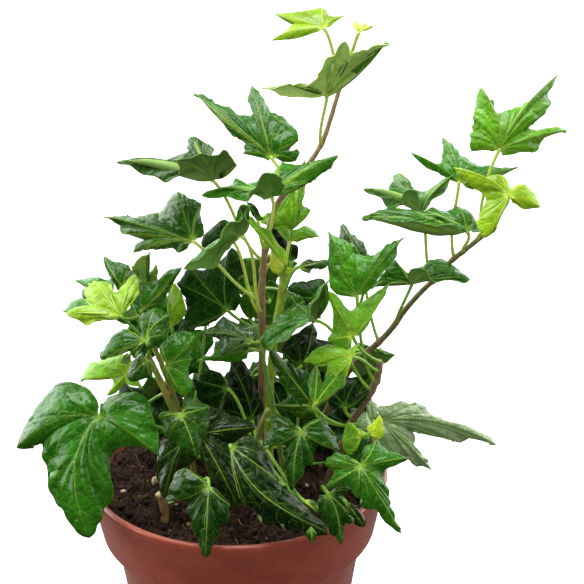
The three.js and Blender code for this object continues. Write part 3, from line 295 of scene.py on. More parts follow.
     "289,362.5 295,367.5 301,369.5 305,370.5 309,374 313,370 317,366^ 319,372 321,379 322,384 325,378 "
     "330,373 336,371.5 342,370^ 345,376 345,384 339,388 334,392 330,399 324,404 319,407"),
    ("leaf_front_right", "shoot_right", (336, 462), (360, 466), 44, (12, 35), "leaf_mid", "leaf",
     "361,459 363,454 364,447.5 371,444 375,440.5 377,439^ 380,441 382,446 387,449 392,451.5 398,454 "
     "405,456.5 410.5,457.5^ 406,461 400,463.8 393,466.5 387,469 384,473 384,477 386,483 389,490 "
     "390,497 391.5,503 390,508 394,512 395.5,518 395,523 399,528 402,533^ 398,532.5 393,528.5 388,524 "
     "384,520 381.5,517 380,513 375,509.5 370,509.5 366,509 362,505 362,500 357,497 353,492 350,488 "
     "345,486 338,487 331,488.5 326,488^ 327,484 330,480 334,475 333.5,471 331.5,469 329,467 "
     "325.5,465.5^ 327,458.5 331,456 335,453 338,452 344,455.5 350,459.5 355,462"),
    ("leaf_front_low_right", "shoot_right", (326, 490), (328, 494), 46, (8, 30), "leaf_dark", "ivy",
     "333,489 340,486.5 347,486.5 351,489^ 347,492.5 343.5,497 345.5,503 343.5,508 348,512 352,517 "
     "353,521^ 350,524.5 346,523.5 344,526 344,533 343,540 341,545^ 338.5,542 336,537 332,536 329,531 "
     "326,524 322,519 318,512 317,503 320,495"),
    # its grey tone is partly painted sheen
    ("leaf_right_pale", "shoot_right", (355, 416), (381, 422), 2, (20, 42), "leaf_grey", "grey",
     "377,410 380,405.5 385,405 391,405 396,402 402,400^ 407,402 412,404.5 417.5,402.5 422,404 427,408 "
     "431,413.5 436,414 440,417 445,420 449,424 453,428 457,429.5 460,428.5 463,426.5 470,427 475,429 "
     "480,432 487,435 492,438 494,441 497,445^ 492,444 485,440.5 478,438.5 470,438 466,440 461,442.5 "
     "456,442 450,439.5 445,437.5 441,436.5 437,436 433,435 427,434 420,432.5 413,431 414,433 416,438 "
     "415.5,444 419,449 422,454 422,458 427,461 430,465 432,471^ 428,468 423,465.5 418,466.5 414,465 "
     "410,460 404,456 396,454 388,451 383,449^ 381,443 380,436"),
    ("leaf_back_centre", "shoot_centre", (262, 372), (305, 358), -32, (175, 15), "leaf_mid", "bottle",
     "292,352 283,349^ 281,362 274,372^ 288,380 296,390 304,401^ 313,388 322,380 335,374^ 328,362 "
     "330,351^ 317,353"),
    ("leaf_back_left", "shoot_left_back", (186, 434), (210, 284), -20, (190, 15), "leaf_mid", "leaf",
     "200,279 191,277^ 190,288 184,300^ 195,304 202,314 208,326^ 217,311 226,303 235,295^ 228,286 "
     "230,275^ 219,279"),
    ("leaf_back_right", "shoot_right_long", (380, 341), (358, 262), -30, (165, 15), "leaf_mid", "grass",
     "348,258 340,256^ 339,267 334,277^ 345,281 351,287 357,292^ 364,283 371,275 379,266^ 368,261"),
]

# leaves too small for a part of their own: columns as in LEAVES, without the name
SMALL_LEAVES = [
    ("shoot_centre", (349, 57), (358.5, 33), -2, (0, 45), "leaf_young", "primrose",
     "354,28 353,23 355.5,18.5^ 359,24 362,25 367.5,22^ 367,26 374.5,25^ 370,29 365,31"),
    ("shoot_centre", (262, 340), (318, 298), -10, (10, 45), "leaf_dark", "bottle",
     "306,306 296,304 290,296^ 288,288 292,283 299,280.5 308,279.5 318,278^ 325,280 324,288"),
    ("shoot_lime", (283, 274), (283, 272), 10, (0, 20), "leaf_young", "primrose",
     "277,274 272,272 270,267^ 270,258 271,249^ 277,256 282,262 288,267 294,269^ 290,274"),
    ("shoot_lime", (283, 272), (285, 264), 14, (-10, 18), "leaf_young", "spring",
     "281,262 276,256 271,250 266,244 260,237 254,230 248,222 243.5,213^ 249,215 254,221 260,226 "
     "267,229 272,233^ 275,239 278,244 281,247 284,249^ 287,255 287,261"),
    ("shoot_lime", (282, 292), (298, 267), 17, (20, 45), "leaf_mid", "bluish",
     "303,261 308,258.5 313,258 317,260 321,261 325,259.5 329,261^ 328,265 325,268 321,269 317,268 "
     "313,268 310,273^ 305,272 301,270"),
    ("shoot_lime", (283, 270), (290, 242), 5, (15, 50), "leaf_mid", "soft",
     "286,240 282,234 275,227^ 281,224.5 287,225^ 290,229.5 296,229.5 303,226 309,225.5 315,228 "
     "320,236.5^ 312,238 304,239.5 297,242"),
    ("shoot_lime", (283, 288), (291, 262), 2, (0, 35), "leaf_dark", "blackish",
     "288,256 285,249 280,243 274,238 270,233 266,228^ 273,226.5 279,230 284,236 288,242 293,243.5^ "
     "297,245 298.5,252 297,259"),
    ("shoot_lime", (270, 375), (301, 366), 4, (5, 40), "leaf_dark", "blackish",
     "290,362 281,350^ 287,340 300,333 313,326^ 316,340 322,343^ 315,353"),
    ("shoot_left_back", (153, 344), (108, 300), 6, (-25, 45), "leaf_mid", "leaf",
     "90,301 82,297 82,290 84,285 79,282 74.5,281^ 80,279 88,276.5 97,276.5 104,279 111,277^ 114,284 "
     "113,292"),
    ("shoot_left_back", (150, 338), (148, 284), -14, (180, 40), "leaf_grey", "silver_glow",
     "157,282 158,275 157.5,264^ 155,268 152,272 149,272 146,267 146,262 147,256 149.5,251^ 144,254 "
     "139,257 135,261 131,266^ 133,272 138,277 141,281"),
    ("shoot_right", (350, 428), (362, 436), 30, (5, 25), "leaf_young", "soft",
     "360,441 357,446 353,454 348,455.5^ 344,450 342.5,443 343.5,434 347,424 350,422^ 354,426 359,429 "
     "366,432.5 370,436^ 369,441"),
    ("shoot_right", (353, 420), (345, 408), 14, (5, 35), "leaf_dark", "deep",
     "334,409 328,402 332,393^ 340,386 350,378 357,380^ 357,395 361,392 370,390^ 366,398 358,408"),
    ("shoot_right", (342, 446), (350, 426), 8, (-10, 35), "leaf_dark", "blackish",
     "343,430 333,424 330,414^ 336,407 343,405 351,405^ 356,414 355,422"),
    ("shoot_right", (350, 426), (314, 405.5), 32, (0, 30), "leaf_young", "grass",
     "311,396 308,386 309,376 313,369 317,365^ 319,372 321,379 323,384 326,377 331,372 336,371 "
     "342,370^ 345,376 345,384 339,388 334,392 329,398 322,403"),
    ("shoot_front", (250, 452), (311, 527), 59, (0, 35), "leaf_dark", "ivy",
     "316,531 317,535 314.5,539 312,544.5^ 309,540 305.5,535 306,531"),
    ("shoot_front", (266, 440), (304, 501), 50, (20, 50), "leaf_young", "bluish",
     "306,499.5 311,499 316,502 318.5,507 317,512.5^ 312,509 308,506 305,503"),
    ("shoot_right", (326, 490), (345, 501), 48, (10, 35), "leaf_dark", "deep",
     "349,502.5 354,505 359,508.5 362,513 365.5,518 366,523 364,527^ 359,526.5 355,523 353,518 350,513 "
     "347,508"),
    # the next two small curls are grey partly as painted sheen
    ("shoot_right", (355, 416), (372, 421), 12, (30, 40), "leaf_grey", "grey",
     "369,419 366,412 366,405 370,400^ 375,401 378,408 377.5,415"),
    ("shoot_right", (352, 424), (357, 424), 16, (10, 50), "leaf_grey", "grey",
     "357,419 362,414 367,412^ 370,418 371,426 368,430 362,431^ 358,428"),
    ("shoot_right", (350, 428), (369, 434), 33, (25, 25), "leaf_young", "sunny",
     "367,430 368,426 373,423 377,418 379.5,414.5^ 382.5,421 384,429 383,437^ 379,440 374,439"),
    ("shoot_left", (166, 394), (140, 401), 4, (-15, 45), "leaf_dark", "deep",
     "131,399 118,392.5^ 119,386 123,381^ 128,384.5 134,387 140,388.5 147,395^ 148,400"),
    ("shoot_left", (152, 364), (131, 354), 14, (-10, 30), "leaf_dark", "deep",
     "127,353 123,357 121,362^ 125,364.5 130,362"),
    ("shoot_left_back", (168, 380), (197, 339), 4, (10, 40), "leaf_mid", "grass",
     "202,343 203,350 202.5,357 197,360^ 190,357 188,350^ 191,344"),
    ("shoot_centre", (262, 300), (270, 300), -12, (0, 40), "leaf_dark", "ivy",
     "266,296 263,289 264,284^ 270,283 278,284^ 277,292 275,300"),
    ("shoot_centre", (262, 330), (297, 309), -6, (10, 40), "leaf_mid", "forest",
     "290,310 285,306 286,296 287,289^ 294,289 300,291 307,296^ 310,299 308,305"),
    ("shoot_centre", (262, 330), (250, 319), -12, (180, 30), "leaf_grey", "silver_glow",
     "243,313 239,305 241,298 248,291^ 254,294 258,302 258,312"),
    ("shoot_centre", (262, 300), (252, 292), -16, (-10, 40), "leaf_mid", "forest",
     "247,294 242,296^ 238,291 236,283 241,276^ 246,280 251,282 257,284^ 256,289"),
    ("shoot_centre", (265, 250), (258, 222), 2, (0, 35), "leaf_dark", "bottle",
     "252,215 249,208 246,201^ 252,203 257,208 260,214 264,219^"),
    ("shoot_right_long", (366, 353), (312, 362), -6, (5, 40), "leaf_dark", "deep",
     "300,366 289,362^ 284,352 283,345^ 290,337 300,330 313,323^ 317,330 316,338 326,340 340,341^ "
     "336,352 326,360"),
    ("shoot_left_back", (141, 316), (96, 309), 12, (-30, 40), "leaf_young", "grass",
     "90,312 80,313 70,313 61,312^ 66,307 71,302 77,298 83,297.5^ 89,301"),
]

# dark leaves behind the others: shoot, joint, base, depth, facing, tone, length in mm and turn in
# degrees. They fill the parts that the picture hides.
HIDDEN_LEAVES = [
    ("shoot_left_back", (190, 450), (204, 432), -22, (-15, 38), "bottle", 30, 165),
    ("shoot_left_back", (186, 435), (214, 424), -30, (10, 30), "bottle", 26, 190),
    ("shoot_left_back", (192, 460), (222, 446), -14, (-5, 40), "bottle", 32, 180),
    ("shoot_centre", (262, 430), (240, 428), -28, (-10, 32), "bottle", 30, 170),
    ("shoot_centre", (262, 440), (262, 436), -36, (0, 35), "bottle", 28, 185),
    ("shoot_centre", (262, 400), (284, 418), -30, (15, 34), "bottle", 27, 200),
    ("shoot_centre", (262, 450), (296, 438), -22, (10, 40), "bottle", 30, 175),
    ("shoot_right_long", (311, 446), (322, 434), -34, (10, 35), "bottle", 28, 180),
    ("shoot_right_long", (320, 425), (344, 436), -28, (20, 38), "ivy", 30, 170),
    ("shoot_right_long", (303, 466), (366, 446), -20, (25, 42), "bottle", 28, 190),
    ("shoot_right_long", (335, 395), (352, 408), -26, (5, 35), "bottle", 24, 215),
    ("shoot_right", (338, 456), (350, 462), -6, (15, 45), "ivy", 24, 150),
    ("shoot_centre", (262, 330), (243, 330), -20, (190, 35), "forest", 28, -60),
    ("shoot_centre", (263, 290), (282, 292), -22, (165, 38), "forest", 28, 30),
    ("shoot_centre", (265, 250), (262, 262), -20, (200, 36), "forest", 26, -10),
    ("shoot_left_back", (172, 390), (166, 384), -18, (200, 35), "forest", 28, 10),
    ("shoot_right_long", (366, 353), (352, 350), -34, (170, 36), "forest", 28, -20),
    ("shoot_centre", (262, 370), (250, 380), -34, (185, 30), "ivy", 30, 0),
    ("shoot_left_back", (147, 330), (152, 322), -4, (-5, 36), "forest", 21, 200),
    ("shoot_left_back", (154, 346), (146, 330), -8, (-20, 40), "leaf", 20, 150),
    ("shoot_left_back", (163, 368), (160, 345), -6, (5, 38), "ivy", 24, 190),
    ("shoot_left_back", (172, 390), (180, 362), -10, (10, 36), "forest", 20, 130),
    ("shoot_left_back", (186, 434), (166, 430), -10, (-10, 36), "bottle", 22, 185),
]


# ---- picture geometry ----
def ray(px, py):
    return VIEW + VIEW_UP * (CENTRE - py) / FOCAL + RIGHT * (px - CENTRE) / FOCAL


def at(px, py, depth):
    line = ray(px, py)
    return EYE + line * (-depth - EYE[1]) / line[1]


def on_plane(px, py, point, normal):
    line = ray(px, py)
    return EYE + line * ((point - EYE) @ normal) / (line @ normal)


def to_picture(points):
    offset = points - EYE
    far = offset @ VIEW
    return np.stack([CENTRE + FOCAL * offset[..., 0] / far,
                     CENTRE - FOCAL * (offset @ VIEW_UP) / far], -1)


def unit(vector):
    return vector / np.maximum(np.linalg.norm(vector, axis=-1, keepdims=True), 1e-9)


def facing_normal(compass, height):
    turn, rise = math.radians(compass), math.radians(height)
    return np.array([math.sin(turn) * math.cos(rise), -math.cos(turn) * math.cos(rise),
                     math.sin(rise)])


def round_turn(sides):
    """Angles of the points of a ring."""
    return np.arange(sides) * 2 * math.pi / sides


def smoothstep(low, high, value):
    t = np.clip((value - low) / (high - low), 0, 1)
    return t * t * (3 - 2 * t)


# ---- curves ----
CURVE_STEPS = 24                         # samples between two points of a curve


def spline(points):
    """A centripetal Catmull-Rom curve through the points, sampled closely."""
    p = np.asarray(points, float)
    if len(p) == 2:
        return p[0] + np.linspace(0, 1, CURVE_STEPS)[:, None] * (p[1] - p[0])
    p = np.vstack([2 * p[0] - p[1], p, 2 * p[-1] - p[-2]])
    out = []
    u = np.arange(CURVE_STEPS)[:, None] / CURVE_STEPS
    for i in range(1, len(p) - 2):
        a, b, c, d = p[i - 1:i + 3]
        d0, d1, d2 = (max(float(np.dot(q, q)) ** 0.25, 1e-3) for q in (b - a, c - b, d - c))
        t1 = ((b - a) / d0 - (c - a) / (d0 + d1) + (c - b) / d1) * d1
        t2 = ((c - b) / d1 - (d - b) / (d1 + d2) + (d - c) / d2) * d1
        out.append(b + t1 * u + (3 * (c - b) - 2 * t1 - t2) * u**2 + (2 * (b - c) + t1 + t2) * u**3)
    return np.vstack(out + [p[-2][None]])


def lengths(points):
    steps = np.linalg.norm(np.diff(points, axis=0), axis=1)
    return np.concatenate([[0], np.cumsum(steps)])


def spaced(points, count):
    """count + 1 points evenly spaced along a polyline."""
    run = lengths(points)
    want = np.linspace(0, run[-1], count + 1)
    return np.stack([np.interp(want, run, points[:, k]) for k in range(3)], 1)


# ---- meshes ----
def make_mesh(name, verts, faces, materials, face_slot=None, point=None, corner=None):
    """A mesh object from points in mm. point and corner hold attributes by name."""
    mesh = bpy.data.meshes.new(name)
    mesh.from_pydata((np.asarray(verts) * MM).tolist(), [], faces)
    for kind, table in (("POINT", point), ("CORNER", corner)):
        for key, values in (table or {}).items():
            values = np.asarray(values, np.float32)
            if values.ndim == 2:
                layer = mesh.attributes.new(key, "FLOAT_COLOR", kind)
                layer.data.foreach_set("color", np.hstack(
                    [values, np.ones((len(values), 1), np.float32)]).ravel())
            else:
                layer = mesh.attributes.new(key, "FLOAT", kind)
                layer.data.foreach_set("value", values.ravel())
    for material in materials:
        mesh.materials.append(material)
    if face_slot is not None:
        mesh.polygons.foreach_set("material_index", np.asarray(face_slot, np.int32))
    mesh.polygons.foreach_set("use_smooth", np.full(len(mesh.polygons), True))
    mesh.update()
    thing = bpy.data.objects.new(name, mesh)
    bpy.context.scene.collection.objects.link(thing)
    return thing


def keep(thing, slot, *nodes):
    """Puts a finished piece on the object's one body."""
    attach(thing, "root")
    if nodes:
        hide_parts(*nodes)
    return thing


def tube(points, radii, sides):
    """Points and faces of a closed tube with its own radius at each point."""
    points = np.asarray(points, float)
    radii = np.broadcast_to(radii, (len(points),)) if np.ndim(radii) < 2 else radii
    tangent = unit(np.gradient(points, axis=0))
    side = np.array([1.0, 0, 0]) if abs(tangent[0][0]) < 0.9 else np.array([0, 1.0, 0])
    turn = round_turn(sides)
    rings = []
    for i, point in enumerate(points):
        side = unit(side - tangent[i] * (side @ tangent[i]))
        other = np.cross(tangent[i], side)
        radius = radii[i] if np.ndim(radii[i]) else np.full(sides, radii[i])
        rings.append(point + radius[:, None] * (np.cos(turn)[:, None] * side
                                                + np.sin(turn)[:, None] * other))
    count = len(points)
    verts = np.vstack(rings + [points[:1], points[-1:]])
    faces = []
    for i in range(count - 1):
        for k in range(sides):
            a, b = i * sides + k, i * sides + (k + 1) % sides
            faces.append((a, b, b + sides, a + sides))
    first, last = count * sides, count * sides + 1
    for k in range(sides):
        nxt = (k + 1) % sides
        faces.append((first, nxt, k))
        faces.append((last, (count - 1) * sides + k, (count - 1) * sides + nxt))
    return verts, faces


# ---- materials ----
class Shader:
    """A procedural material, with short calls for the nodes that it is made of."""

    def __init__(self, name, **sockets):
        self.material = bpy.data.materials.new(name)
        self.material.use_nodes = True
        self.tree = self.material.node_tree
        self.surface = self.tree.nodes["Principled BSDF"]
        self.position = self.node("ShaderNodeTexCoord").outputs["Object"]
        for key, value in sockets.items():
            self.surface.inputs[key.replace("_", " ")].default_value = value

    def node(self, kind, **settings):
        node = self.tree.nodes.new(kind)
        for key, value in settings.items():
            setattr(node, key, value)
        return node

    def feed(self, socket, value):
        if isinstance(value, bpy.types.NodeSocket):
            self.tree.links.new(value, socket)
        elif value is not None:
            if hasattr(socket.default_value, "__len__") and not np.ndim(value):
                value = [value] * len(socket.default_value)
            if np.ndim(value) and len(value) == 3 and len(socket.default_value) == 4:
                value = (*value, 1.0)
            socket.default_value = value

    def math(self, operation, a, b=None, c=None):
        node = self.node("ShaderNodeMath", operation=operation)
        for socket, value in zip(node.inputs, (a, b, c)):
            self.feed(socket, value)
        return node.outputs[0]

    def attribute(self, name, output="Fac"):
        return self.node("ShaderNodeAttribute", attribute_name=name).outputs[output]

    def step(self, value, low, high, start=0.0, end=1.0):
        """Goes smoothly from start to end as value goes from low to high."""
        node = self.node("ShaderNodeMapRange", interpolation_type="SMOOTHSTEP")
        for key, item in (("Value", value), ("From Min", low), ("From Max", high),
                          ("To Min", start), ("To Max", end)):
            self.feed(node.inputs[key], item)
        return node.outputs["Result"]

    def mix(self, factor, a, b, blend="MIX"):
        node = self.node("ShaderNodeMix", data_type="RGBA", blend_type=blend)
        self.feed(node.inputs[0], factor)
        self.feed(node.inputs[6], a)
        self.feed(node.inputs[7], b)
        return node.outputs[2]

    def noise(self, size, detail=2.0, rough=0.5, position=None):
        """Noise whose features are about size mm across."""
        node = self.node("ShaderNodeTexNoise")
        self.feed(node.inputs["Vector"], position or self.position)
        self.feed(node.inputs["Scale"], 1000.0 / size)
        self.feed(node.inputs["Detail"], detail)
        self.feed(node.inputs["Roughness"], rough)
        return node.outputs["Fac"]

    def cells(self, size, feature="DISTANCE_TO_EDGE"):
        """Distance in a pattern of cells about size mm across."""
        node = self.node("ShaderNodeTexVoronoi", feature=feature)
        self.feed(node.inputs["Vector"], self.position)
        self.feed(node.inputs["Scale"], 1000.0 / size)
        return node.outputs["Distance"]

    def stretched(self, scale):
        """Object position in metres, stretched along its axes."""
        node = self.node("ShaderNodeVectorMath", operation="MULTIPLY")
        self.feed(node.inputs[0], self.position)
        self.feed(node.inputs[1], scale)
        return node.outputs[0]

    def bump(self, height, depth):
        """A bump depth mm deep where height goes from 0 to 1."""
        node = self.node("ShaderNodeBump")
        self.feed(node.inputs["Strength"], 1.0)
        self.feed(node.inputs["Distance"], depth * MM)
        self.feed(node.inputs["Height"], height)
        return node.outputs[0]

    def finish(self, colour=None, roughness=None, normal=None):
        for key, value in (("Base Color", colour), ("Roughness", roughness), ("Normal", normal)):
            if value is not None:
                self.feed(self.surface.inputs[key], value)
        return self.material


def linear(text):
    """Scene-linear colour of an sRGB hex colour."""
    value = np.array([int(text[i:i + 2], 16) for i in (1, 3, 5)]) / 255
    return np.where(value <= 0.04045, value / 12.92, ((value + 0.055) / 1.055) ** 2.4)


# ---- leaves ----
BLADE = 0.42                             # thickness in mm
RIM_STEP = 0.9                           # mesh spacing along the rim in mm
ROW_STEP = 1.05                          # mesh spacing from the base outwards in mm
SIDE_VEIN_LEAN = 0.62                    # how far a side vein runs forward per mm outwards
STALK = 0.62                             # stalk radius in mm


def read_outline(outline, base, normal, depth):
    """Outline points in space, which of them are pointed tips, and how far their veins bend."""
    points, tips, bends = [], [], []
    for word in outline.split():
        found = re.match(r"^([\d.]+),([\d.]+)(\^?)(?:~(-?\d+))?([+-][\d.]+)?$", word)
        px, py, tip, bend, lift = found.groups()
        px, py, forward = float(px), float(py), float(lift or 0)
        if normal is None:
            points.append(at(px, py, depth + forward))
        else:
            points.append(at(px, py, forward - on_plane(px, py, base, normal)[1]))
        tips.append(bool(tip))
        bends.append(None if bend is None else float(bend) / 100)
    return np.array(points), tips, bends


def ivy_outline(size, turn, base, normal, rng):
    """A five-lobed outline of a leaf size mm long. turn 0 points its middle lobe down, 90 right."""
    down = unit(normal * normal[2] - np.array([0, 0, 1.0]))
    right = np.cross(normal, down)
    turn = math.radians(turn)
    ahead = math.cos(turn) * down + math.sin(turn) * right
    aside = math.cos(turn) * right - math.sin(turn) * down
    half = [(0.10, -0.15, 0), (0.20, -0.19, 0), (0.31, -0.22, 1), (0.36, -0.06, 0), (0.38, 0.05, 0),
            (0.53, 0.13, 0), (0.68, 0.27, 1), (0.50, 0.35, 0), (0.30, 0.43, 0), (0.25, 0.58, 0),
            (0.19, 0.76, 0), (0.08, 0.92, 0)]
    points, tips = [], []
    for sign, part in ((1, half), (0, [(0, 1.0, 1)]), (-1, half[::-1])):
        wide = rng.uniform(0.85, 1.12)
        for x, y, tip in part:
            x, y = x * wide * rng.uniform(0.94, 1.06), y * rng.uniform(0.96, 1.04)
            points.append(base + size * (y * ahead + sign * x * aside) - normal * 0.1 * size * y * y)
            tips.append(bool(tip))
    return np.array(points), tips, [None] * len(tips)


def smooth_rim(points, tips):
    """The rim, sampled evenly: smooth between pointed tips. Also gives the samples at the tips."""
    corners = sorted({0, len(points) - 1, *(i for i, tip in enumerate(tips) if tip)})
    rim, marks = [points[:1]], {}
    total = 1
    for a, b in zip(corners, corners[1:]):
        if tips[a]:
            marks[total - 1] = a
        run = spline(points[a:b + 1])
        count = max(2, round(lengths(run)[-1] / RIM_STEP))
        rim.append(spaced(run, count)[1:])
        total += count
    if tips[corners[-1]]:
        marks[total - 1] = corners[-1]
    return np.vstack(rim), marks


def scalloped(rim, marks, mean, size, rng):
    """The rim with scallops about size mm deep, which fade out at the tips and the base."""
    arc = lengths(rim)
    step = 5.0 * (1 + 0.3 * np.sin(arc / 9 + rng.uniform(0, 6.3)))
    turn = np.concatenate([[0], np.cumsum(np.diff(arc) / step[1:])])
    swell = np.abs(np.sin(math.pi * turn + rng.uniform(0, 3.1))) ** 0.9 - 0.55
    still = np.minimum.reduce([np.abs(arc - arc[m]) for m in [0, len(rim) - 1, *marks]])
    outward = unit(np.cross(np.gradient(rim, axis=0), mean))
    centre = rim.mean(0)
    outward *= np.sign(((rim - centre) * outward).sum(1).mean())
    uneven = 0.7 + 0.5 * np.sin(arc / 13 + rng.uniform(0, 6.3)) * np.sin(arc / 7.3)
    swell = swell * size * uneven * smoothstep(0.5, 4.0, still)
    return rim + outward * swell[:, None], swell / max(size, 1e-6)


def minor_veins(rim, marks, base, mean):
    """Rim samples that lesser veins run to, where a wide part has no main vein."""
    direction = unit(rim - base)
    start = direction[0]
    angle = np.unwrap(np.arctan2(np.cross(start, direction) @ mean, direction @ start))
    angle = np.degrees(np.abs(angle - angle[0]))
    reach = np.linalg.norm(rim - base, axis=1)
    found = []
    stops = [0, *marks, len(rim) - 1]
    for number, (a, b) in enumerate(zip(stops, stops[1:])):
        gap = angle[b] - angle[a]
        outer = number in (0, len(stops) - 2)
        if gap < (34 if outer else 62):
            continue
        shares = (0.4, 0.72) if outer and gap > 75 else (0.5,)
        for share in shares:
            share = 1 - share if number == 0 else share
            want = angle[a] + share * gap
            near = np.flatnonzero(np.abs(angle[a:b + 1] - want) < 0.12 * gap) + a
            if len(near) and reach[near].max() > 6:
                found.append(int(near[reach[near].argmax()]))
    return sorted(set(found) - set(marks))


def ripple(points, size, rng):
    """A smooth random field from -1 to 1 or so, with features about size mm across."""
    total = np.zeros(points.shape[:-1])
    for _ in range(5):
        wave = rng.normal(size=3)
        wave *= 2 * math.pi / (size * rng.uniform(0.8, 1.7)) / np.linalg.norm(wave)
        total += np.sin(points @ wave + rng.uniform(0, 2 * math.pi))
    return total / 3


def grid_normals(grid, mean):
    """Normals of a fan grid, of shape rays by rows, that look to the side of mean."""
    across = np.gradient(grid, axis=0)
    along = np.gradient(grid, axis=1)
    normal = np.cross(across, along)
    normal[:, 0] = normal[:, 1:3].mean((0, 1))
    flip = np.sign((normal * mean).sum(-1, keepdims=True))
    if (flip < 0).mean() > 0.5:
        normal = -normal
    return unit(normal)


def blade_mesh(outline, base, normal, depth, look, rng):
    """The closed blade: points, faces, slot of each face, and the attributes of its surface."""
    if isinstance(outline, str):
        keys, tips, bends = read_outline(outline, base, normal, depth)
    else:
        keys, tips, bends = ivy_outline(*outline, base, normal, rng)
    rim, tip_marks = smooth_rim(keys, tips)
    mean = np.zeros(3)
    for a, b in zip(keys, keys[1:]):
        mean += np.cross(b - base, a - base)
    mean = unit(mean)
    rim, scallop = scalloped(rim, list(tip_marks), mean, look["crinkle"], rng)
    lesser = minor_veins(rim, list(tip_marks), base, mean)
    reach = np.linalg.norm(rim - base, axis=1)
    longest = reach.max()
    direction = unit(rim - base)
    rows = int(np.clip(round(longest / ROW_STEP), 9, 34))
    s = (np.arange(rows + 1) / rows) ** 0.9
    grid = base + s[None, :, None] * (rim - base)[:, None]

    # main veins bend a little sideways, and carry the surface beside them along
    sideways = unit(np.cross(np.broadcast_to(mean, direction.shape), direction))
    weights = dict.fromkeys(tip_marks, 1.0) | dict.fromkeys(lesser, 0.62)
    marks = sorted(weights)
    bend_of = {mark: rng.uniform(-0.07, 0.07) for mark in marks}
    bend_of.update({mark: bends[key] for mark, key in tip_marks.items() if bends[key] is not None})
    swings = [bend_of[mark] for mark in marks]
    swing = np.interp(np.arange(len(rim)), [0, *marks, len(rim) - 1], [0, *swings, 0])
    arch = np.sin(math.pi * s**0.8)
    grid = grid + (swing * reach)[:, None, None] * arch[None, :, None] * sideways[:, None]

    # along and across each main vein, in mm
    veins = []
    for mark in marks:
        tip = (rim[mark] - base) * (1 if weights[mark] == 1 else 0.86)
        size = np.linalg.norm(tip)
        axis = tip / size
        side = unit(np.cross(mean, axis))
        offset = grid - base
        run = offset @ axis
        along = np.clip(run / size, 0, 1)
        off = offset @ side - bend_of[mark] * size * np.sin(math.pi * along**0.8)
        beyond = np.maximum(run - size, 0) + np.maximum(-run, 0)
        veins.append((run, off, np.hypot(off, beyond), size, weights[mark]))
    distance = np.stack([v[2] for v in veins])
    order = np.sort(distance, axis=0)
    near = order[0]
    between = order[1] - order[0] if len(veins) > 1 else np.full_like(near, 9.0)
    nearest = distance.argmin(0)
    from_main = np.stack([v[2] for v in veins if v[4] == 1]) if tip_marks else distance
    blend = 0.06 * longest
    valley = -blend * np.log(np.exp(-from_main / blend).sum(0)).clip(-60, 60)
    valley = np.maximum(valley + blend * np.log(len(from_main)) * (1 - smoothstep(0, 9, valley)), 0)

    # distance from the rim, in mm
    edge = unit(np.gradient(rim, axis=0))
    lean = np.sqrt(np.clip(1 - (edge * direction).sum(1) ** 2, 0.08, 1))
    margin = (1 - s)[None, :] * (reach * lean)[:, None]

    # relief: cushions between grooved veins and the rim, puckers between side veins, waved rim
    flat_normal = grid_normals(grid, mean)
    spacing = float(np.clip(0.2 * longest, 3.6, 7.5))
    starts = rng.uniform(0, 1, (len(veins), 2))
    phases = []
    drift = 0.3 * ripple(grid, 13, rng)
    for k, (run, off, *_) in enumerate(veins):
        start = np.where(off > 0, starts[k, 0], starts[k, 1])
        forward = SIDE_VEIN_LEAN * np.abs(off) + 0.025 * off**2
        phases.append((run - forward) / spacing + start + drift)
    phase = np.take_along_axis(np.stack(phases), nearest[None], 0)[0]
    soft = smoothstep(0, 2.0, margin)
    pucker = np.abs(np.sin(math.pi * phase)) ** 0.8
    pucker = pucker * smoothstep(0.3, 2.6, near) * smoothstep(0, 2.2, between) * soft
    out = reach[:, None] * s
    width = valley + margin
    share = np.clip(valley / np.maximum(width, 0.1), 0, 1)
    cushion = width * np.sin(math.pi * share**0.75) * smoothstep(0, 0.12 * longest, out)
    arc = lengths(rim)
    wavelength = rng.uniform(9, 14)
    wave = np.sin(2 * math.pi * arc / wavelength + rng.uniform(0, 6.3)
                  + 1.5 * np.sin(arc / 17 + rng.uniform(0, 6.3)))
    calm = smoothstep(0, 4, arc) * smoothstep(0, 4, arc[-1] - arc)
    height = (look["dome"] * out * (1 - s)[None, :] * 2.4 + look["cushion"] * cushion
              + look["pucker"] * pucker - look["roll"] * (1 - np.exp(-valley / 6)) * s[None, :] ** 2
              + look["wave"] * (s**3)[None, :] * (wave * calm)[:, None]
              + look["wave"] * (s**5)[None, :] * scallop[:, None] * calm[:, None]
              + look["lumps"] * ripple(grid, 6.5, rng) * smoothstep(0, 6, out) * soft)
    grid = grid + flat_normal * height[..., None]
    grid[:, 0] = base
    normals = grid_normals(grid, mean)
    rib = 0.2 * np.exp(-(near / 0.45) ** 2) * np.clip(margin / 8, 0, 1)
    under = grid - normals * (BLADE + rib)[..., None]
    under[:, 0] = base - normals[0, 0] * BLADE

    # points: the base once, then the rays row by row, and the same again for the underside
    count = len(rim)
    size = 1 + count * rows

    def flatten(values):
        return np.concatenate([values[:1, 0], values[:, 1:].reshape(count * rows, *values.shape[2:])])

    def index(ray_number, row):
        return 0 if row == 0 else 1 + ray_number * rows + row - 1

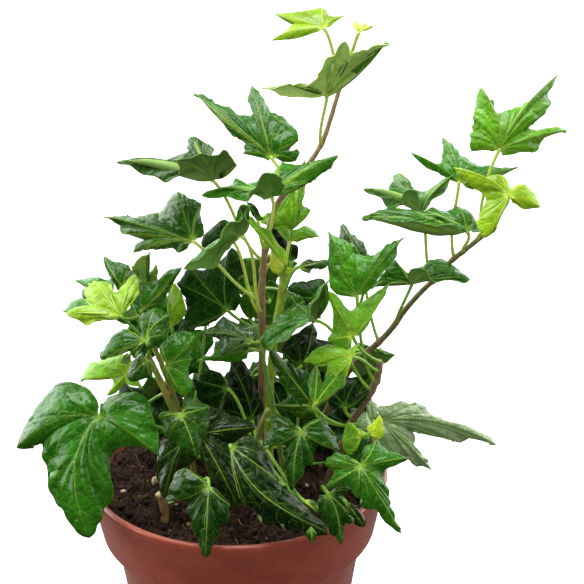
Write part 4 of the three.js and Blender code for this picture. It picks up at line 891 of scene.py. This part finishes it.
    faces, cells = [], []
    for i in range(count - 1):
        for j in range(rows):
            corner = [index(i, j), index(i, j + 1), index(i + 1, j + 1), index(i + 1, j)]
            faces.append(corner[:3] if j == 0 else corner)
            cells.append(nearest[i + (between[i + 1, j + 1] > between[i, j + 1]), j + 1])
    verts = flatten(grid)
    corners = np.array([f[:3] for f in faces])
    a, b, c = verts[corners[:, 0]], verts[corners[:, 1]], verts[corners[:, 2]]
    upward = np.cross(b - a, c - a).sum(0) @ mean > 0
    border = [0, *(index(0, j) for j in range(1, rows + 1)), *(index(i, rows) for i in range(1, count)),
              *(index(count - 1, j) for j in range(rows - 1, 0, -1))]
    if not upward:
        faces = [f[::-1] for f in faces]
        border = border[::-1]
    lower = [[v + size for v in reversed(f)] for f in faces]
    side_faces = [(b, a, a + size, b + size) for a, b in zip(border, border[1:] + border[:1])]
    slots = [0] * len(faces) + [1] * (len(lower) + len(side_faces))
    cells = cells + cells + [0] * len(side_faces)
    faces = faces + lower + side_faces
    verts = np.vstack([verts, flatten(under)])

    def doubled(values):
        return np.tile(flatten(values), 2)

    runs, offs, steps = (np.stack([doubled(v) for v in group])
                         for group in ([v[0] for v in veins], [v[1] for v in veins], phases))
    owner = np.repeat(cells, [len(f) for f in faces])
    corners = np.concatenate([np.array(f) for f in faces])
    point = {"margin": doubled(margin), "hub": doubled(out)}
    corner = {"across": offs[owner, corners], "phase": steps[owner, corners],
              "vein": np.clip(runs[owner, corners] / np.array([v[3] for v in veins])[owner], 0, 1),
              "weight": np.array([v[4] for v in veins])[owner]}
    return verts, faces, slots, point, corner, mean, keys[len(keys) // 2] - base


def leaf_shader(name, gloss, coat, vein, cell_depth, under, sheen=0.5):
    """Materials for the upper face and the underside of one kind of leaf."""
    top = Shader(name, IOR=1.3, Coat_Weight=coat, Coat_Roughness=0.1, Specular_IOR_Level=sheen)
    tone = top.attribute("tone", "Color")
    across = top.math("ABSOLUTE", top.attribute("across"))
    along = top.attribute("vein")
    margin = top.attribute("margin")
    hub = top.attribute("hub")
    phase = top.attribute("phase")
    # broad light and dark patches, and fine specks
    patch = top.step(top.noise(7.0, 2, 0.55), 0.3, 0.7, 0.72, 1.22)
    speck = top.step(top.noise(0.9, 2, 0.6), 0.25, 0.75, 0.88, 1.12)
    shade = top.math("MULTIPLY", patch, speck)
    pale = top.mix(0.3, tone, vein)
    colour = top.mix(1.0, tone, shade, "MULTIPLY")
    # side veins, from the phase that counts them
    beside = top.math("PINGPONG", phase, 0.5)
    side = top.step(beside, 0.012, 0.05, 1.0, 0.0)
    side = top.math("MULTIPLY", side, top.step(across, 0.1, 11.0, 1.0, 0.3))
    side = top.math("MULTIPLY", side, top.step(top.noise(5.0, 1), 0.35, 0.6, 0.5, 1.0))
    side = top.math("MULTIPLY", side, top.step(margin, 0.2, 2.0))
    colour = top.mix(side, colour, pale)
    # the net of the finest veins
    edge = top.cells(1.7)
    net = top.step(top.cells(4.0), 0.0, 0.05, 0.42, 0.0)
    colour = top.mix(net, colour, pale)
    colour = top.mix(top.step(edge, 0.0, 0.1, 0.12, 0.0), colour, pale)
    # main veins, their paler borders and the spot where they meet
    weight = top.attribute("weight")
    width = top.math("MULTIPLY", top.math("MULTIPLY_ADD", along, -0.15, 0.27), weight)
    main = top.step(across, top.math("MULTIPLY", width, 0.55), top.math("MULTIPLY", width, 1.35),
                    1.0, 0.0)
    main = top.math("MULTIPLY", main, top.step(along, 0.5, 1.0, 0.8, 0.3))
    main = top.math("MULTIPLY", main, weight)
    halo = top.step(across, 0.2, 2.0, 0.15, 0.0)
    colour = top.mix(halo, colour, pale)
    colour = top.mix(main, colour, vein)
    colour = top.mix(top.step(hub, 0.6, 3.0, 0.8, 0.0), colour, vein)
    # a thin pale rim
    colour = top.mix(top.step(margin, 0.1, 0.42, 0.55, 0.0), colour, pale)
    rough = top.step(top.noise(3.0, 2), 0.3, 0.7, gloss - 0.05, gloss + 0.07)
    relief = top.step(edge, 0.0, 0.45)
    relief = top.math("MULTIPLY_ADD", top.step(top.cells(4.0), 0.0, 0.34), 2.2, relief)
    relief = top.math("MULTIPLY_ADD", top.step(beside, 0.0, 0.16), 1.1, relief)
    relief = top.math("MULTIPLY_ADD", top.step(across, 0.0, 0.5), 0.8, relief)
    normal = top.bump(relief, cell_depth)
    top.finish(colour, rough, normal)

    low = Shader(name + "_under", IOR=1.42)
    tone = low.attribute("under", "Color")
    shade = low.step(low.noise(4.0, 3), 0.25, 0.75, 0.85, 1.12)
    colour = low.mix(1.0, tone, shade, "MULTIPLY")
    across = low.math("ABSOLUTE", low.attribute("across"))
    beside = low.math("PINGPONG", low.attribute("phase"), 0.5)
    rib = low.step(across, 0.15, 0.5, 0.8, 0.0)
    rib = low.math("MAXIMUM", rib, low.step(beside, 0.02, 0.07, 0.4, 0.0))
    colour = low.mix(rib, colour, low.mix(0.5, tone, under))
    colour = low.mix(low.step(low.cells(1.5), 0.0, 0.09, 0.25, 0.0), colour, under)
    rough = low.step(low.noise(2.0, 2), 0.3, 0.7, 0.5, 0.66)
    normal = low.bump(low.step(low.cells(1.5), 0.0, 0.3, 1.0, 0.0), 0.05)
    low.finish(colour, rough, normal)
    return top.material, low.material


def stalk_shader():
    stalk = Shader("leaf_stalk", IOR=1.45)
    tone = stalk.attribute("tone", "Color")
    streak = stalk.step(stalk.noise(1.1, 3), 0.25, 0.75, 0.82, 1.18)
    colour = stalk.mix(1.0, tone, streak, "MULTIPLY")
    foot = stalk.attribute("foot")
    colour = stalk.mix(stalk.math("MULTIPLY", foot, 0.6), colour, linear("#9a7a4a"))
    rough = stalk.step(stalk.noise(1.5, 2), 0.3, 0.7, 0.34, 0.48)
    return stalk.finish(colour, rough, stalk.bump(stalk.noise(0.6, 2), 0.03))


LOOKS = {
    "leaf_dark": dict(dome=0.15, cushion=0.12, pucker=0.36, lumps=0.26, wave=0.7, roll=1.5, crinkle=0.6),
    "leaf_mid": dict(dome=0.14, cushion=0.09, pucker=0.28, lumps=0.2, wave=0.6, roll=1.3, crinkle=0.45),
    "leaf_grey": dict(dome=0.12, cushion=0.1, pucker=0.26, lumps=0.18, wave=0.5, roll=1.0, crinkle=0.45),
    "leaf_shaded": dict(dome=0.13, cushion=0.07, pucker=0.2, lumps=0.14, wave=0.7, roll=1.4, crinkle=0.5),
    "leaf_young": dict(dome=0.1, cushion=0.08, pucker=0.14, lumps=0.1, wave=0.35, roll=0.8, crinkle=0.25),
}
SUNLIT_ROW = 255                          # stalks above this picture row are painted paler, partly for their youth and partly as painted light where they are sunlit
SHADED_DEPTH = 15                         # dark leaves less than this far forward are less glossy, and their veins and undersides are painted dimmer as shade
OWN_LOOKS = {
    "ivy_leaf_front_left": dict(crinkle=0.1),
    "ivy_leaf_front_heart": dict(crinkle=0.15),
    "ivy_leaf_top_underside": dict(cushion=0.03, pucker=0.06, lumps=0.05, crinkle=0.15),
}
LEAF_MATERIALS = {
    "leaf_dark": leaf_shader("leaf_dark", 0.3, 0.46, linear("#7da238"), 0.13, linear("#86b04c"), 0.26),
    # a shaded copy of leaf_dark: its duller vein and underside colours are painted shade
    "leaf_shaded": leaf_shader("leaf_shaded", 0.4, 0.1, linear("#5c8c2c"), 0.08, linear("#7ca048"),
                               0.12),
    "leaf_mid": leaf_shader("leaf_mid", 0.34, 0.38, linear("#8fb43c"), 0.13, linear("#92b850"), 0.26),
    "leaf_grey": leaf_shader("leaf_grey", 0.34, 0.6, linear("#84a850"), 0.15, linear("#90ac68")),
    "leaf_young": leaf_shader("leaf_young", 0.4, 0.35, linear("#c2e040"), 0.07, linear("#b4d450")),
}
STALK_MATERIAL = stalk_shader()


class Shoot:
    def __init__(self, name, thick, thin, path):
        knots = np.array([at(*(float(v) for v in word.split(","))) for word in path.split()])
        root = knots[0] - np.array([0, 0, 20.0])
        line = spline(np.vstack([root, knots]))
        self.name, self.thick, self.thin = name, thick, thin
        self.length = lengths(line)[-1]
        self.line = spaced(line, max(8, round(self.length / 1.2)))
        self.picture = to_picture(self.line)
        self.joints = []

    def nearest(self, px, py):
        i = int(np.hypot(*(self.picture - (px, py)).T).argmin())
        tangent = unit(self.line[min(i + 1, len(self.line) - 1)] - self.line[max(i - 1, 0)])
        return i, self.line[i], tangent


def stalk_points(start, end, outward, arrival):
    size = np.linalg.norm(end - start)
    a = start + (end - start) * 0.2 + outward * 0.15 * size
    b = end - arrival * 0.25 * size
    u = np.linspace(0, 1, 19)[:, None]
    curve = (1 - u)**3 * start + 3 * (1 - u)**2 * u * a + 3 * (1 - u) * u**2 * b + u**3 * end
    return curve


def build_leaf(name, shoot, joint, base_px, depth, facing, slot, tone, outline, rng, nodes=()):
    base = at(*base_px, depth)
    normal = None if facing is None else facing_normal(*facing)
    kind = "leaf_shaded" if slot == "leaf_dark" and depth < SHADED_DEPTH else slot
    look = LOOKS[kind] | OWN_LOOKS.get(name, {})
    verts, faces, slots, point, corner, mean, tip = blade_mesh(
        outline, base, normal, depth, look, rng)
    where, start, tangent = shoot.nearest(*joint)
    shoot.joints.append(where)
    reach = base - start
    outward = unit(reach - tangent * (reach @ tangent))
    arrival = unit(unit(tip) * 0.8 + mean * 0.25 + unit(reach) * 0.6)
    path = stalk_points(start, base - mean * 0.25, outward, arrival)
    path = np.vstack([path, path[-1] + unit(tip) * 0.9 - mean * 0.12,
                      path[-1] + unit(tip) * 2.2 - mean * 0.3])
    run = lengths(path)
    radius = STALK * (1 + 0.75 * np.exp(-run / 1.6) + 0.22 * np.exp(-(run[-3] - run).clip(0) / 1.2))
    radius[-2:] = STALK * 0.75, STALK * 0.3
    tube_verts, tube_faces = tube(path, radius, 9)
    base_count = len(verts)
    verts = np.vstack([verts, tube_verts])
    faces = faces + [tuple(v + base_count for v in f) for f in tube_faces]
    slots = slots + [2] * len(tube_faces)
    extra = len(tube_verts)
    loops = sum(len(f) for f in tube_faces)
    main = linear(TONES[tone])
    pale = main * 0.9 + linear("#a9cc70") * 0.35
    if tone == "silver_glow":                  # a leaf seen from below: its underside takes this tone, painted brighter to stand for light shining through it, and its upper face is grass green
        main = linear(TONES["grass"])
    # painted light: stalks high in the plant are paler, partly as if sunlit
    stem = linear("#cfe466" if base_px[1] < SUNLIT_ROW else "#84b83c")
    colour = np.vstack([np.tile(main, (base_count, 1)), np.tile(stem, (extra, 1))])
    foot = np.zeros(len(verts))
    foot[base_count:base_count + 9 * len(path)] = np.repeat(np.exp(-run / 3.0), 9)
    point = {key: np.concatenate([value, np.zeros(extra)]) for key, value in point.items()}
    point.update(tone=colour, foot=foot, under=np.tile(pale, (len(verts), 1)))
    corner = {key: np.concatenate([value, np.zeros(loops)]) for key, value in corner.items()}
    materials = [*LEAF_MATERIALS[kind], STALK_MATERIAL]
    leaf = make_mesh(name, verts, faces, materials, slots, point, corner)
    return keep(leaf, slot, *nodes)


shoots = {row[0]: Shoot(*row) for row in SHOOTS}
for number, (name, shoot, joint, base_px, depth, facing, slot, tone, outline) in enumerate(LEAVES):
    build_leaf("ivy_" + name, shoots[shoot], joint, base_px, depth, facing, slot, tone, outline,
               np.random.default_rng(100 + number), [name])
for number, (shoot, joint, base_px, depth, facing, slot, tone, outline) in enumerate(SMALL_LEAVES):
    build_leaf("small_leaf_%02d" % (number + 1), shoots[shoot], joint, base_px, depth, facing,
               slot, tone, outline, np.random.default_rng(300 + number))

for number, (shoot, joint, base_px, depth, facing, tone, size, turn) in enumerate(HIDDEN_LEAVES):
    build_leaf("inner_leaf_%02d" % (number + 1), shoots[shoot], joint, base_px, depth, facing,
               "leaf_dark", tone, (size, turn), np.random.default_rng(400 + number))


# ---- shoots ----
def shoot_shader(name, low, high, ring):
    bark = Shader(name, IOR=1.45)
    age = bark.attribute("age")
    colour = bark.mix(age, low, high)
    streak = bark.step(bark.noise(1.2, 4, 0.6, bark.stretched((1, 1, 0.25))), 0.3, 0.7, 0.7, 1.25)
    colour = bark.mix(1.0, colour, streak, "MULTIPLY")
    colour = bark.mix(bark.math("MULTIPLY", bark.attribute("node"), 0.7), colour, ring)
    lenticel = bark.step(bark.cells(2.0, "F1"), 0.1, 0.22, 0.5, 0.0)
    colour = bark.mix(lenticel, colour, bark.mix(0.5, colour, linear("#cbb48c")))
    rough = bark.step(bark.noise(1.5, 2), 0.3, 0.7, 0.42, 0.62)
    height = bark.noise(0.7, 4, 0.6, bark.stretched((1, 1, 0.3)))
    return bark.finish(colour, rough, bark.bump(height, 0.12))


# skin, and the colours of the foot, the tip and the rings at the joints
SHOOT_TONES = {
    "shoot_centre": ("bark", "#584534", "#b89a78", "#a88058"),
    "shoot_lime": ("skin", "#7d8f2a", "#a3c43a", "#8a8a3a"),
    "shoot_green": ("skin", "#6b7a32", "#6fa03a", "#8a8a3a"),
    "shoot_left": ("bark", "#5f4630", "#a8b04a", "#a8823a"),
    "shoot_left_back": ("skin", "#7a7a3a", "#a3a850", "#a88a4a"),
    "shoot_right": ("bark", "#4f3f30", "#7a6a4a", "#8f6b4a"),
    "shoot_right_long": ("bark", "#4f3f30", "#7d7a48", "#8f6b4a"),
    "shoot_front": ("skin", "#6a5a3a", "#7a8a44", "#9a8a5a"),
}
SHOOT_MATERIALS = {name: shoot_shader(skin + name.removeprefix("shoot"), *map(linear, colours))
                   for name, (skin, *colours) in SHOOT_TONES.items()}
SHOOT_SIDES = 14

for number, shoot in enumerate(shoots.values()):
    rng = np.random.default_rng(500 + number)
    line = shoot.line
    run = lengths(line)
    share = run / run[-1]
    radius = shoot.thick + (shoot.thin - shoot.thick) * share
    node = np.zeros(len(line))
    for joint in shoot.joints:
        node = np.maximum(node, np.exp(-((run - run[joint]) / 1.3) ** 2))
    radius = radius * (1 + 0.22 * node)
    turn = round_turn(SHOOT_SIDES)
    ridges = 1 + 0.05 * np.sin(5 * turn[None] + run[:, None] / 9) + 0.04 * rng.normal(size=(len(line), 1))
    verts, faces = tube(line, radius[:, None] * ridges, SHOOT_SIDES)
    spread = np.concatenate([np.repeat(share, SHOOT_SIDES), [0, 1]])
    marks = np.concatenate([np.repeat(node, SHOOT_SIDES), [0, 0]])
    thing = make_mesh("ivy_" + shoot.name, verts, faces, [SHOOT_MATERIALS[shoot.name]],
                      point={"age": spread, "node": marks})
    keep(thing, "shoot_bark" if SHOOT_TONES[shoot.name][0] == "bark" else "shoot_green", shoot.name)


# ---- pot ----
def pot_shader():
    pot = Shader("pot_plastic", IOR=1.6, Sheen_Weight=0.22, Sheen_Roughness=0.4)
    mottle = pot.noise(14, 3, 0.5)
    colour = pot.mix(pot.step(mottle, 0.3, 0.7), linear("#95402e"), linear("#a24a35"))
    speck = pot.step(pot.noise(0.8, 3, 0.7), 0.3, 0.75, 0.93, 1.06)
    colour = pot.mix(1.0, colour, speck, "MULTIPLY")
    scuff = pot.step(pot.noise(3.0, 5, 0.72, pot.stretched((0.35, 0.35, 2.2))), 0.56, 0.7, 0.0, 0.14)
    colour = pot.mix(scuff, colour, linear("#c98f7c"))
    rough = pot.math("ADD", pot.step(pot.noise(6, 4, 0.6), 0.3, 0.7, 0.24, 0.34),
                     pot.math("MULTIPLY", scuff, 0.3))
    return pot.finish(colour, rough, pot.bump(pot.noise(0.5, 3, 0.6), 0.02))


HEIGHT, RIM, BAND, BODY, FOOT = 95, 60, 55.5, 50.5, 41      # the pot's height and outer radii
BAND_HEIGHT = 26
SHOULDER = HEIGHT - BAND_HEIGHT                             # where the rim's band begins
WALL, FLOOR = 1.8, 2.2
HOLES, HOLE_RING, HOLE_RADIUS = 8, 30, 4


def turned_faces(rings, sides):
    """Faces of a body of rings between a first and a last point, both on the axis."""
    last = 1 + rings * sides
    faces = []
    for k in range(sides):
        nxt = (k + 1) % sides
        faces.append((0, 1 + nxt, 1 + k))
        faces.append((last - sides + k, last - sides + nxt, last))
        for ring in range(rings - 1):
            a, b = 1 + ring * sides + k, 1 + ring * sides + nxt
            faces.append((a, b, b + sides, a + sides))
    return faces


def lathe(name, profile, sides, material):
    """A closed body turned round Z, from a profile that begins and ends on the axis."""
    turn = round_turn(sides)
    rings = [np.stack([radius * np.cos(turn), radius * np.sin(turn), np.full(sides, z)], 1)
             for radius, z in profile[1:-1]]
    verts = np.vstack([[(0, 0, profile[0][1])], *rings, [(0, 0, profile[-1][1])]])
    faces = turned_faces(len(rings), sides)
    return make_mesh(name, verts, faces, [material])


def cut(thing, cutter):
    """Takes the shape of cutter out of thing, and the cutter out of the scene."""
    modifier = thing.modifiers.new("cut", "BOOLEAN")
    modifier.operation, modifier.object, modifier.solver = "DIFFERENCE", cutter, "EXACT"
    mesh = bpy.data.meshes.new_from_object(thing.evaluated_get(bpy.context.evaluated_depsgraph_get()))
    thing.modifiers.clear()
    thing.data = mesh
    bpy.data.objects.remove(cutter)


def rounded(profile, radius):
    """The profile with its corners rounded."""
    points = np.array(profile, float)
    out = [points[0]]
    for a, b, c in zip(points, points[1:], points[2:]):
        before, after = b - a, c - b
        ease = min(radius, 0.4 * np.linalg.norm(before), 0.4 * np.linalg.norm(after))
        start, end = b - unit(before) * ease, b + unit(after) * ease
        for t in (0, 0.33, 0.67, 1):
            out.append((1 - t)**2 * start + 2 * t * (1 - t) * b + t * t * end)
    return [*out, points[-1]]


pot_profile = rounded([
    (0, 0.8), (FOOT - 8, 0.8), (FOOT - 6, 0), (FOOT - 1.5, 0), (FOOT, 1.2), (BODY, SHOULDER - 1.4),
    (BAND - 0.6, SHOULDER), (BAND, SHOULDER + 1), (RIM - 0.5, HEIGHT - 3.2), (RIM, HEIGHT - 2.6),
    (RIM, HEIGHT - 0.7), (RIM - 0.7, HEIGHT), (RIM - WALL, HEIGHT), (RIM - WALL - 0.5, HEIGHT - 0.6),
    (RIM - WALL - 0.9, HEIGHT - 3), (BAND - WALL, SHOULDER + 1.4), (BODY - WALL, SHOULDER - 2.4),
    (FOOT - WALL + 0.2, FLOOR + 1), (FOOT - WALL - 1.2, FLOOR), (0, FLOOR)], 0.5)
pot = lathe("pot_shell", pot_profile, 160, pot_shader())
for i in range(HOLES):
    angle = 2 * math.pi * (i + 0.5) / HOLES
    drill = lathe("drill", [(0, -3), (HOLE_RADIUS, -3), (HOLE_RADIUS, 6), (0, 6)], 32, None)
    drill.location = (HOLE_RING * math.cos(angle) * MM, HOLE_RING * math.sin(angle) * MM, 0)
    bpy.context.view_layer.update()
    cut(pot, drill)
pot.data.polygons.foreach_set("use_smooth", np.ones(len(pot.data.polygons), bool))
pot.data.set_sharp_from_angle(angle=math.radians(40))
keep(pot, "pot_plastic", "pot")


# ---- soil ----
def soil_shader():
    soil = Shader("peat", Roughness=0.9, IOR=1.35)
    grain = soil.noise(1.3, 6, 0.7)
    colour = soil.mix(soil.step(grain, 0.35, 0.68), linear("#0d0705"), linear("#4a3222"))
    colour = soil.mix(soil.step(soil.noise(5, 3), 0.5, 0.75, 0.0, 0.6), colour, linear("#54381f"))
    return soil.finish(colour, None, soil.bump(grain, 0.9))


def crumb_shader():
    crumb = Shader("peat_crumbs", Roughness=0.85, IOR=1.4)
    grain = crumb.step(crumb.noise(0.7, 4, 0.65), 0.3, 0.7, 0.55, 1.35)
    colour = crumb.mix(1.0, crumb.attribute("tone", "Color"), grain, "MULTIPLY")
    return crumb.finish(colour, None, crumb.bump(crumb.noise(0.5, 4, 0.6), 0.25))


SOIL_EDGE, SOIL_CROWN, SOIL_LUMPS = 88.0, 2, 1.1             # heights in mm
CRUMBS, FIBRES = 560, 150
soil_radius = BAND - WALL + (RIM - BAND) / BAND_HEIGHT * (SOIL_EDGE - SHOULDER) - 0.6
soil_rng = np.random.default_rng(7)
CLODS = [(soil_rng.normal(size=2) * 2 * math.pi / size, soil_rng.uniform(0, 6.3), lift)
         for size, lift in [(15, 0.5)] * 4 + [(6, 0.4)] * 5 + [(3, 0.22)] * 6 + [(1.7, 0.12)] * 6]


def soil_height(x, y):
    out = np.hypot(x, y) / BODY
    lumps = np.sin(0.31 * x + 1.3) * np.cos(0.27 * y - 0.6) + 0.6 * np.sin(0.53 * (x + y))
    level = SOIL_EDGE + SOIL_CROWN * (1 - out * out) + SOIL_LUMPS * lumps * (1 - 0.6 * out)
    for wave, start, lift in CLODS:
        level = level + lift * (1 - 2 * np.abs(np.sin((x * wave[0] + y * wave[1]) / 2 + start)))
    return level


rings, sides = 100, 320
turn = round_turn(sides)
out = soil_radius * np.arange(1, rings + 1)[:, None] / rings
x, y = out * np.cos(turn), out * np.sin(turn)
top = np.stack([x, y, soil_height(x, y)], -1).reshape(-1, 3)
lower = [(soil_radius - 0.8, SOIL_EDGE - 4), (BAND - WALL - 1.2, SHOULDER + 2.2),
         (BODY - WALL - 1.4, SHOULDER - 3.4), (FOOT - WALL - 1.4, FLOOR + 1.4)]
skirt = [np.stack([r * np.cos(turn), r * np.sin(turn), np.full(sides, z)], 1) for r, z in lower]
verts = np.vstack([[(0, 0, float(soil_height(0.0, 0.0)))], top, *skirt, [(0, 0, FLOOR + 1.4)]])
faces = [f[:1] + f[:0:-1] for f in turned_faces(rings + len(lower), sides)]     # from the top down
soil = make_mesh("soil_top", verts, faces, [soil_shader()])
keep(soil, "peat", "soil")


def on_soil(reach):
    angle, out = soil_rng.uniform(0, 2 * math.pi), reach * math.sqrt(soil_rng.uniform(0, 1))
    x, y = out * math.cos(angle), out * math.sin(angle)
    return np.array([x, y, float(soil_height(x, y))])


def pebble(size):
    """Points and faces of a small rough lump."""
    rows, around = 5, 8
    spread = size * soil_rng.uniform(0.6, 1.3, 3)
    verts = [np.array([0, 0, 1.0])]
    for i in range(1, rows):
        for k in range(around):
            a, b = math.pi * i / rows, 2 * math.pi * (k + 0.5 * i) / around
            verts.append(np.array([math.sin(a) * math.cos(b), math.sin(a) * math.sin(b), math.cos(a)])
                         * soil_rng.uniform(0.78, 1.15))
    verts.append(np.array([0, 0, -1.0]))
    faces = [(0, 1 + k, 1 + (k + 1) % around) for k in range(around)]
    for i in range(rows - 2):
        for k in range(around):
            a, b = 1 + i * around + k, 1 + i * around + (k + 1) % around
            faces.append((a, a + around, b + around, b))
    end = len(verts) - 1
    faces += [(end, end - around + (k + 1) % around, end - around + k) for k in range(around)]
    return np.array(verts) * spread, faces


def scatter(name, items, tones, material):
    """One mesh of many small bodies, each with its own tone."""
    verts, faces, colour = [], [], []
    for (points, polygons), tone in zip(items, tones):
        start = sum(len(v) for v in verts)
        verts.append(points)
        faces += [tuple(v + start for v in f) for f in polygons]
        colour.append(np.tile(linear(tone), (len(points), 1)))
    thing = make_mesh(name, np.vstack(verts), faces, [material], point={"tone": np.vstack(colour)})
    return keep(thing, "peat")


CRUMB_TONES = ["#24160e", "#38241a", "#4c3222", "#160d09", "#6a4a30", "#8a6a48", "#c2b090"]
crumb_material = crumb_shader()
items, tones = [], []
for i in range(CRUMBS):
    size = soil_rng.uniform(0.35, 1.25) if i % 9 else soil_rng.uniform(1.2, 2.1)
    points, polygons = pebble(size)
    items.append((points + on_soil(soil_radius - 2.8) + (0, 0, 0.25 * size), polygons))
    tones.append(CRUMB_TONES[min(6, int(soil_rng.exponential(1.7)))])
scatter("soil_crumbs", items, tones, crumb_material)
items, tones = [], []
for _ in range(FIBRES):
    foot = on_soil(soil_radius - 8)
    heading, length = soil_rng.uniform(0, 2 * math.pi), soil_rng.uniform(4, 13)
    u = np.linspace(-0.5, 0.5, 9)
    bend = soil_rng.uniform(-0.35, 0.35) * length * (u * u - 0.1)
    x = foot[0] + length * u * math.cos(heading) - bend * math.sin(heading)
    y = foot[1] + length * u * math.sin(heading) + bend * math.cos(heading)
    reach = np.hypot(x, y).max()
    if reach > soil_radius - 1:
        continue
    z = soil_height(x, y) + 0.15 + soil_rng.uniform(0, 1.2) * (0.5 - 2 * u * u)
    items.append(tube(np.stack([x, y, z], 1), soil_rng.uniform(0.1, 0.26) * (1 - 0.5 * (u + 0.5)), 5))
    tones.append(CRUMB_TONES[soil_rng.integers(2, 6)])
scatter("soil_fibres", items, tones, crumb_material)

# ---- stub ----
stub_rng = np.random.default_rng(11)
STUB_TOP, STUB_FOOT = (160, 493, 29), (165, 527, 30)         # picture points and depths
STUB_RADIUS, STUB_ROOT = 1.5, 12
top, foot = at(*STUB_TOP), at(*STUB_FOOT)
middle = (top + foot) / 2 + (0.8, 0, 0)
stub_line = spaced(spline(np.array([foot - unit(top - foot) * STUB_ROOT, foot, middle, top])), 60)
run = lengths(stub_line)
sides = 20
turn = round_turn(sides)
swell = STUB_RADIUS + 0.3 * np.exp(-((run - run[-1] + 0.6) / 1.1)**2) + 0.28 * np.exp(-((run - 15) / 1.2)**2)
swell = (swell + 0.35 * np.exp(-((run - 12) / 2.0)**2))[:, None] * (
    1 + 0.07 * np.sin(5 * turn + run[:, None] / 6) + 0.035 * stub_rng.normal(size=(len(run), sides)))
verts, faces = tube(stub_line, swell, sides)
fresh = np.concatenate([np.repeat(smoothstep(run[-1] - 1.0, run[-1] - 0.3, run), sides), [0, 1]])
stub_material = shoot_shader("stub_bark", linear("#927047"), linear("#dcc290"), linear("#cdb088"))
stub = make_mesh("stub", verts, faces, [stub_material],
                 point={"age": fresh, "node": np.zeros(len(verts))})
keep(stub, "dead_wood", "stem_stub")

# ---- surroundings ----
floor_mesh = bpy.data.meshes.new("floor")
half = 6.0
floor_mesh.from_pydata([(-half, -half, 0), (half, -half, 0), (half, half, 0), (-half, half, 0)], [],
                       [(0, 1, 2, 3)])
floor = bpy.data.objects.new("floor", floor_mesh)
bpy.context.scene.collection.objects.link(floor)
ground = bpy.data.materials.new("floor_pale")
ground.use_nodes = True
surface = ground.node_tree.nodes["Principled BSDF"].inputs
surface["Base Color"].default_value = (0.93, 0.93, 0.93, 1)
surface["Roughness"].default_value = 0.9
surface["Specular IOR Level"].default_value = 0.1
floor_mesh.materials.append(ground)
floor.visible_glossy = False            # the plant's gloss shows the lights alone
floor.visible_diffuse = False

world = bpy.data.worlds.new("studio")
bpy.context.scene.world = world
world.use_nodes = True
world.node_tree.nodes["Background"].inputs["Color"].default_value = (1, 1, 1, 1)
world.node_tree.nodes["Background"].inputs["Strength"].default_value = 0.3
world.cycles_visibility.glossy = False


def sun(name, azimuth, height, angle, strength, gloss):
    """Soft light from a compass angle, 0 being the viewer's side and 90 the right."""
    light = bpy.data.lights.new(name, "SUN")
    light.angle = math.radians(angle)
    light.energy = strength
    thing = bpy.data.objects.new(name, light)
    bpy.context.scene.collection.objects.link(thing)
    thing.rotation_euler = (math.radians(90 - height), 0, math.radians(azimuth))
    thing.visible_glossy = gloss


# azimuth, height and width in degrees, strength, and whether gloss shows it
LIGHTS = {
    "light_above": (-160, 80, 46, 3.8, True),
    "light_left": (-95, 20, 50, 2.0, True),
    "light_right": (95, 18, 45, 1.1, True),
    "light_back_left": (-140, 14, 60, 2.6, True),
    "light_back_right": (140, 14, 60, 2.2, True),
    "light_front": (0, 30, 90, 0.75, False),
}
for name, setting in LIGHTS.items():
    sun(name, *setting)

camera_data = bpy.data.cameras.new("camera")
camera_data.sensor_fit = "HORIZONTAL"
camera_data.angle = 2 * math.atan(CENTRE / FOCAL)
camera_data.clip_start, camera_data.clip_end = 0.01, 100
camera = bpy.data.objects.new("camera", camera_data)
camera.location = EYE * MM
camera.rotation_euler = (math.pi / 2 - PITCH, 0, 0)
bpy.context.scene.collection.objects.link(camera)
bpy.context.scene.camera = camera
bpy.context.scene.view_settings.view_transform = "Standard"
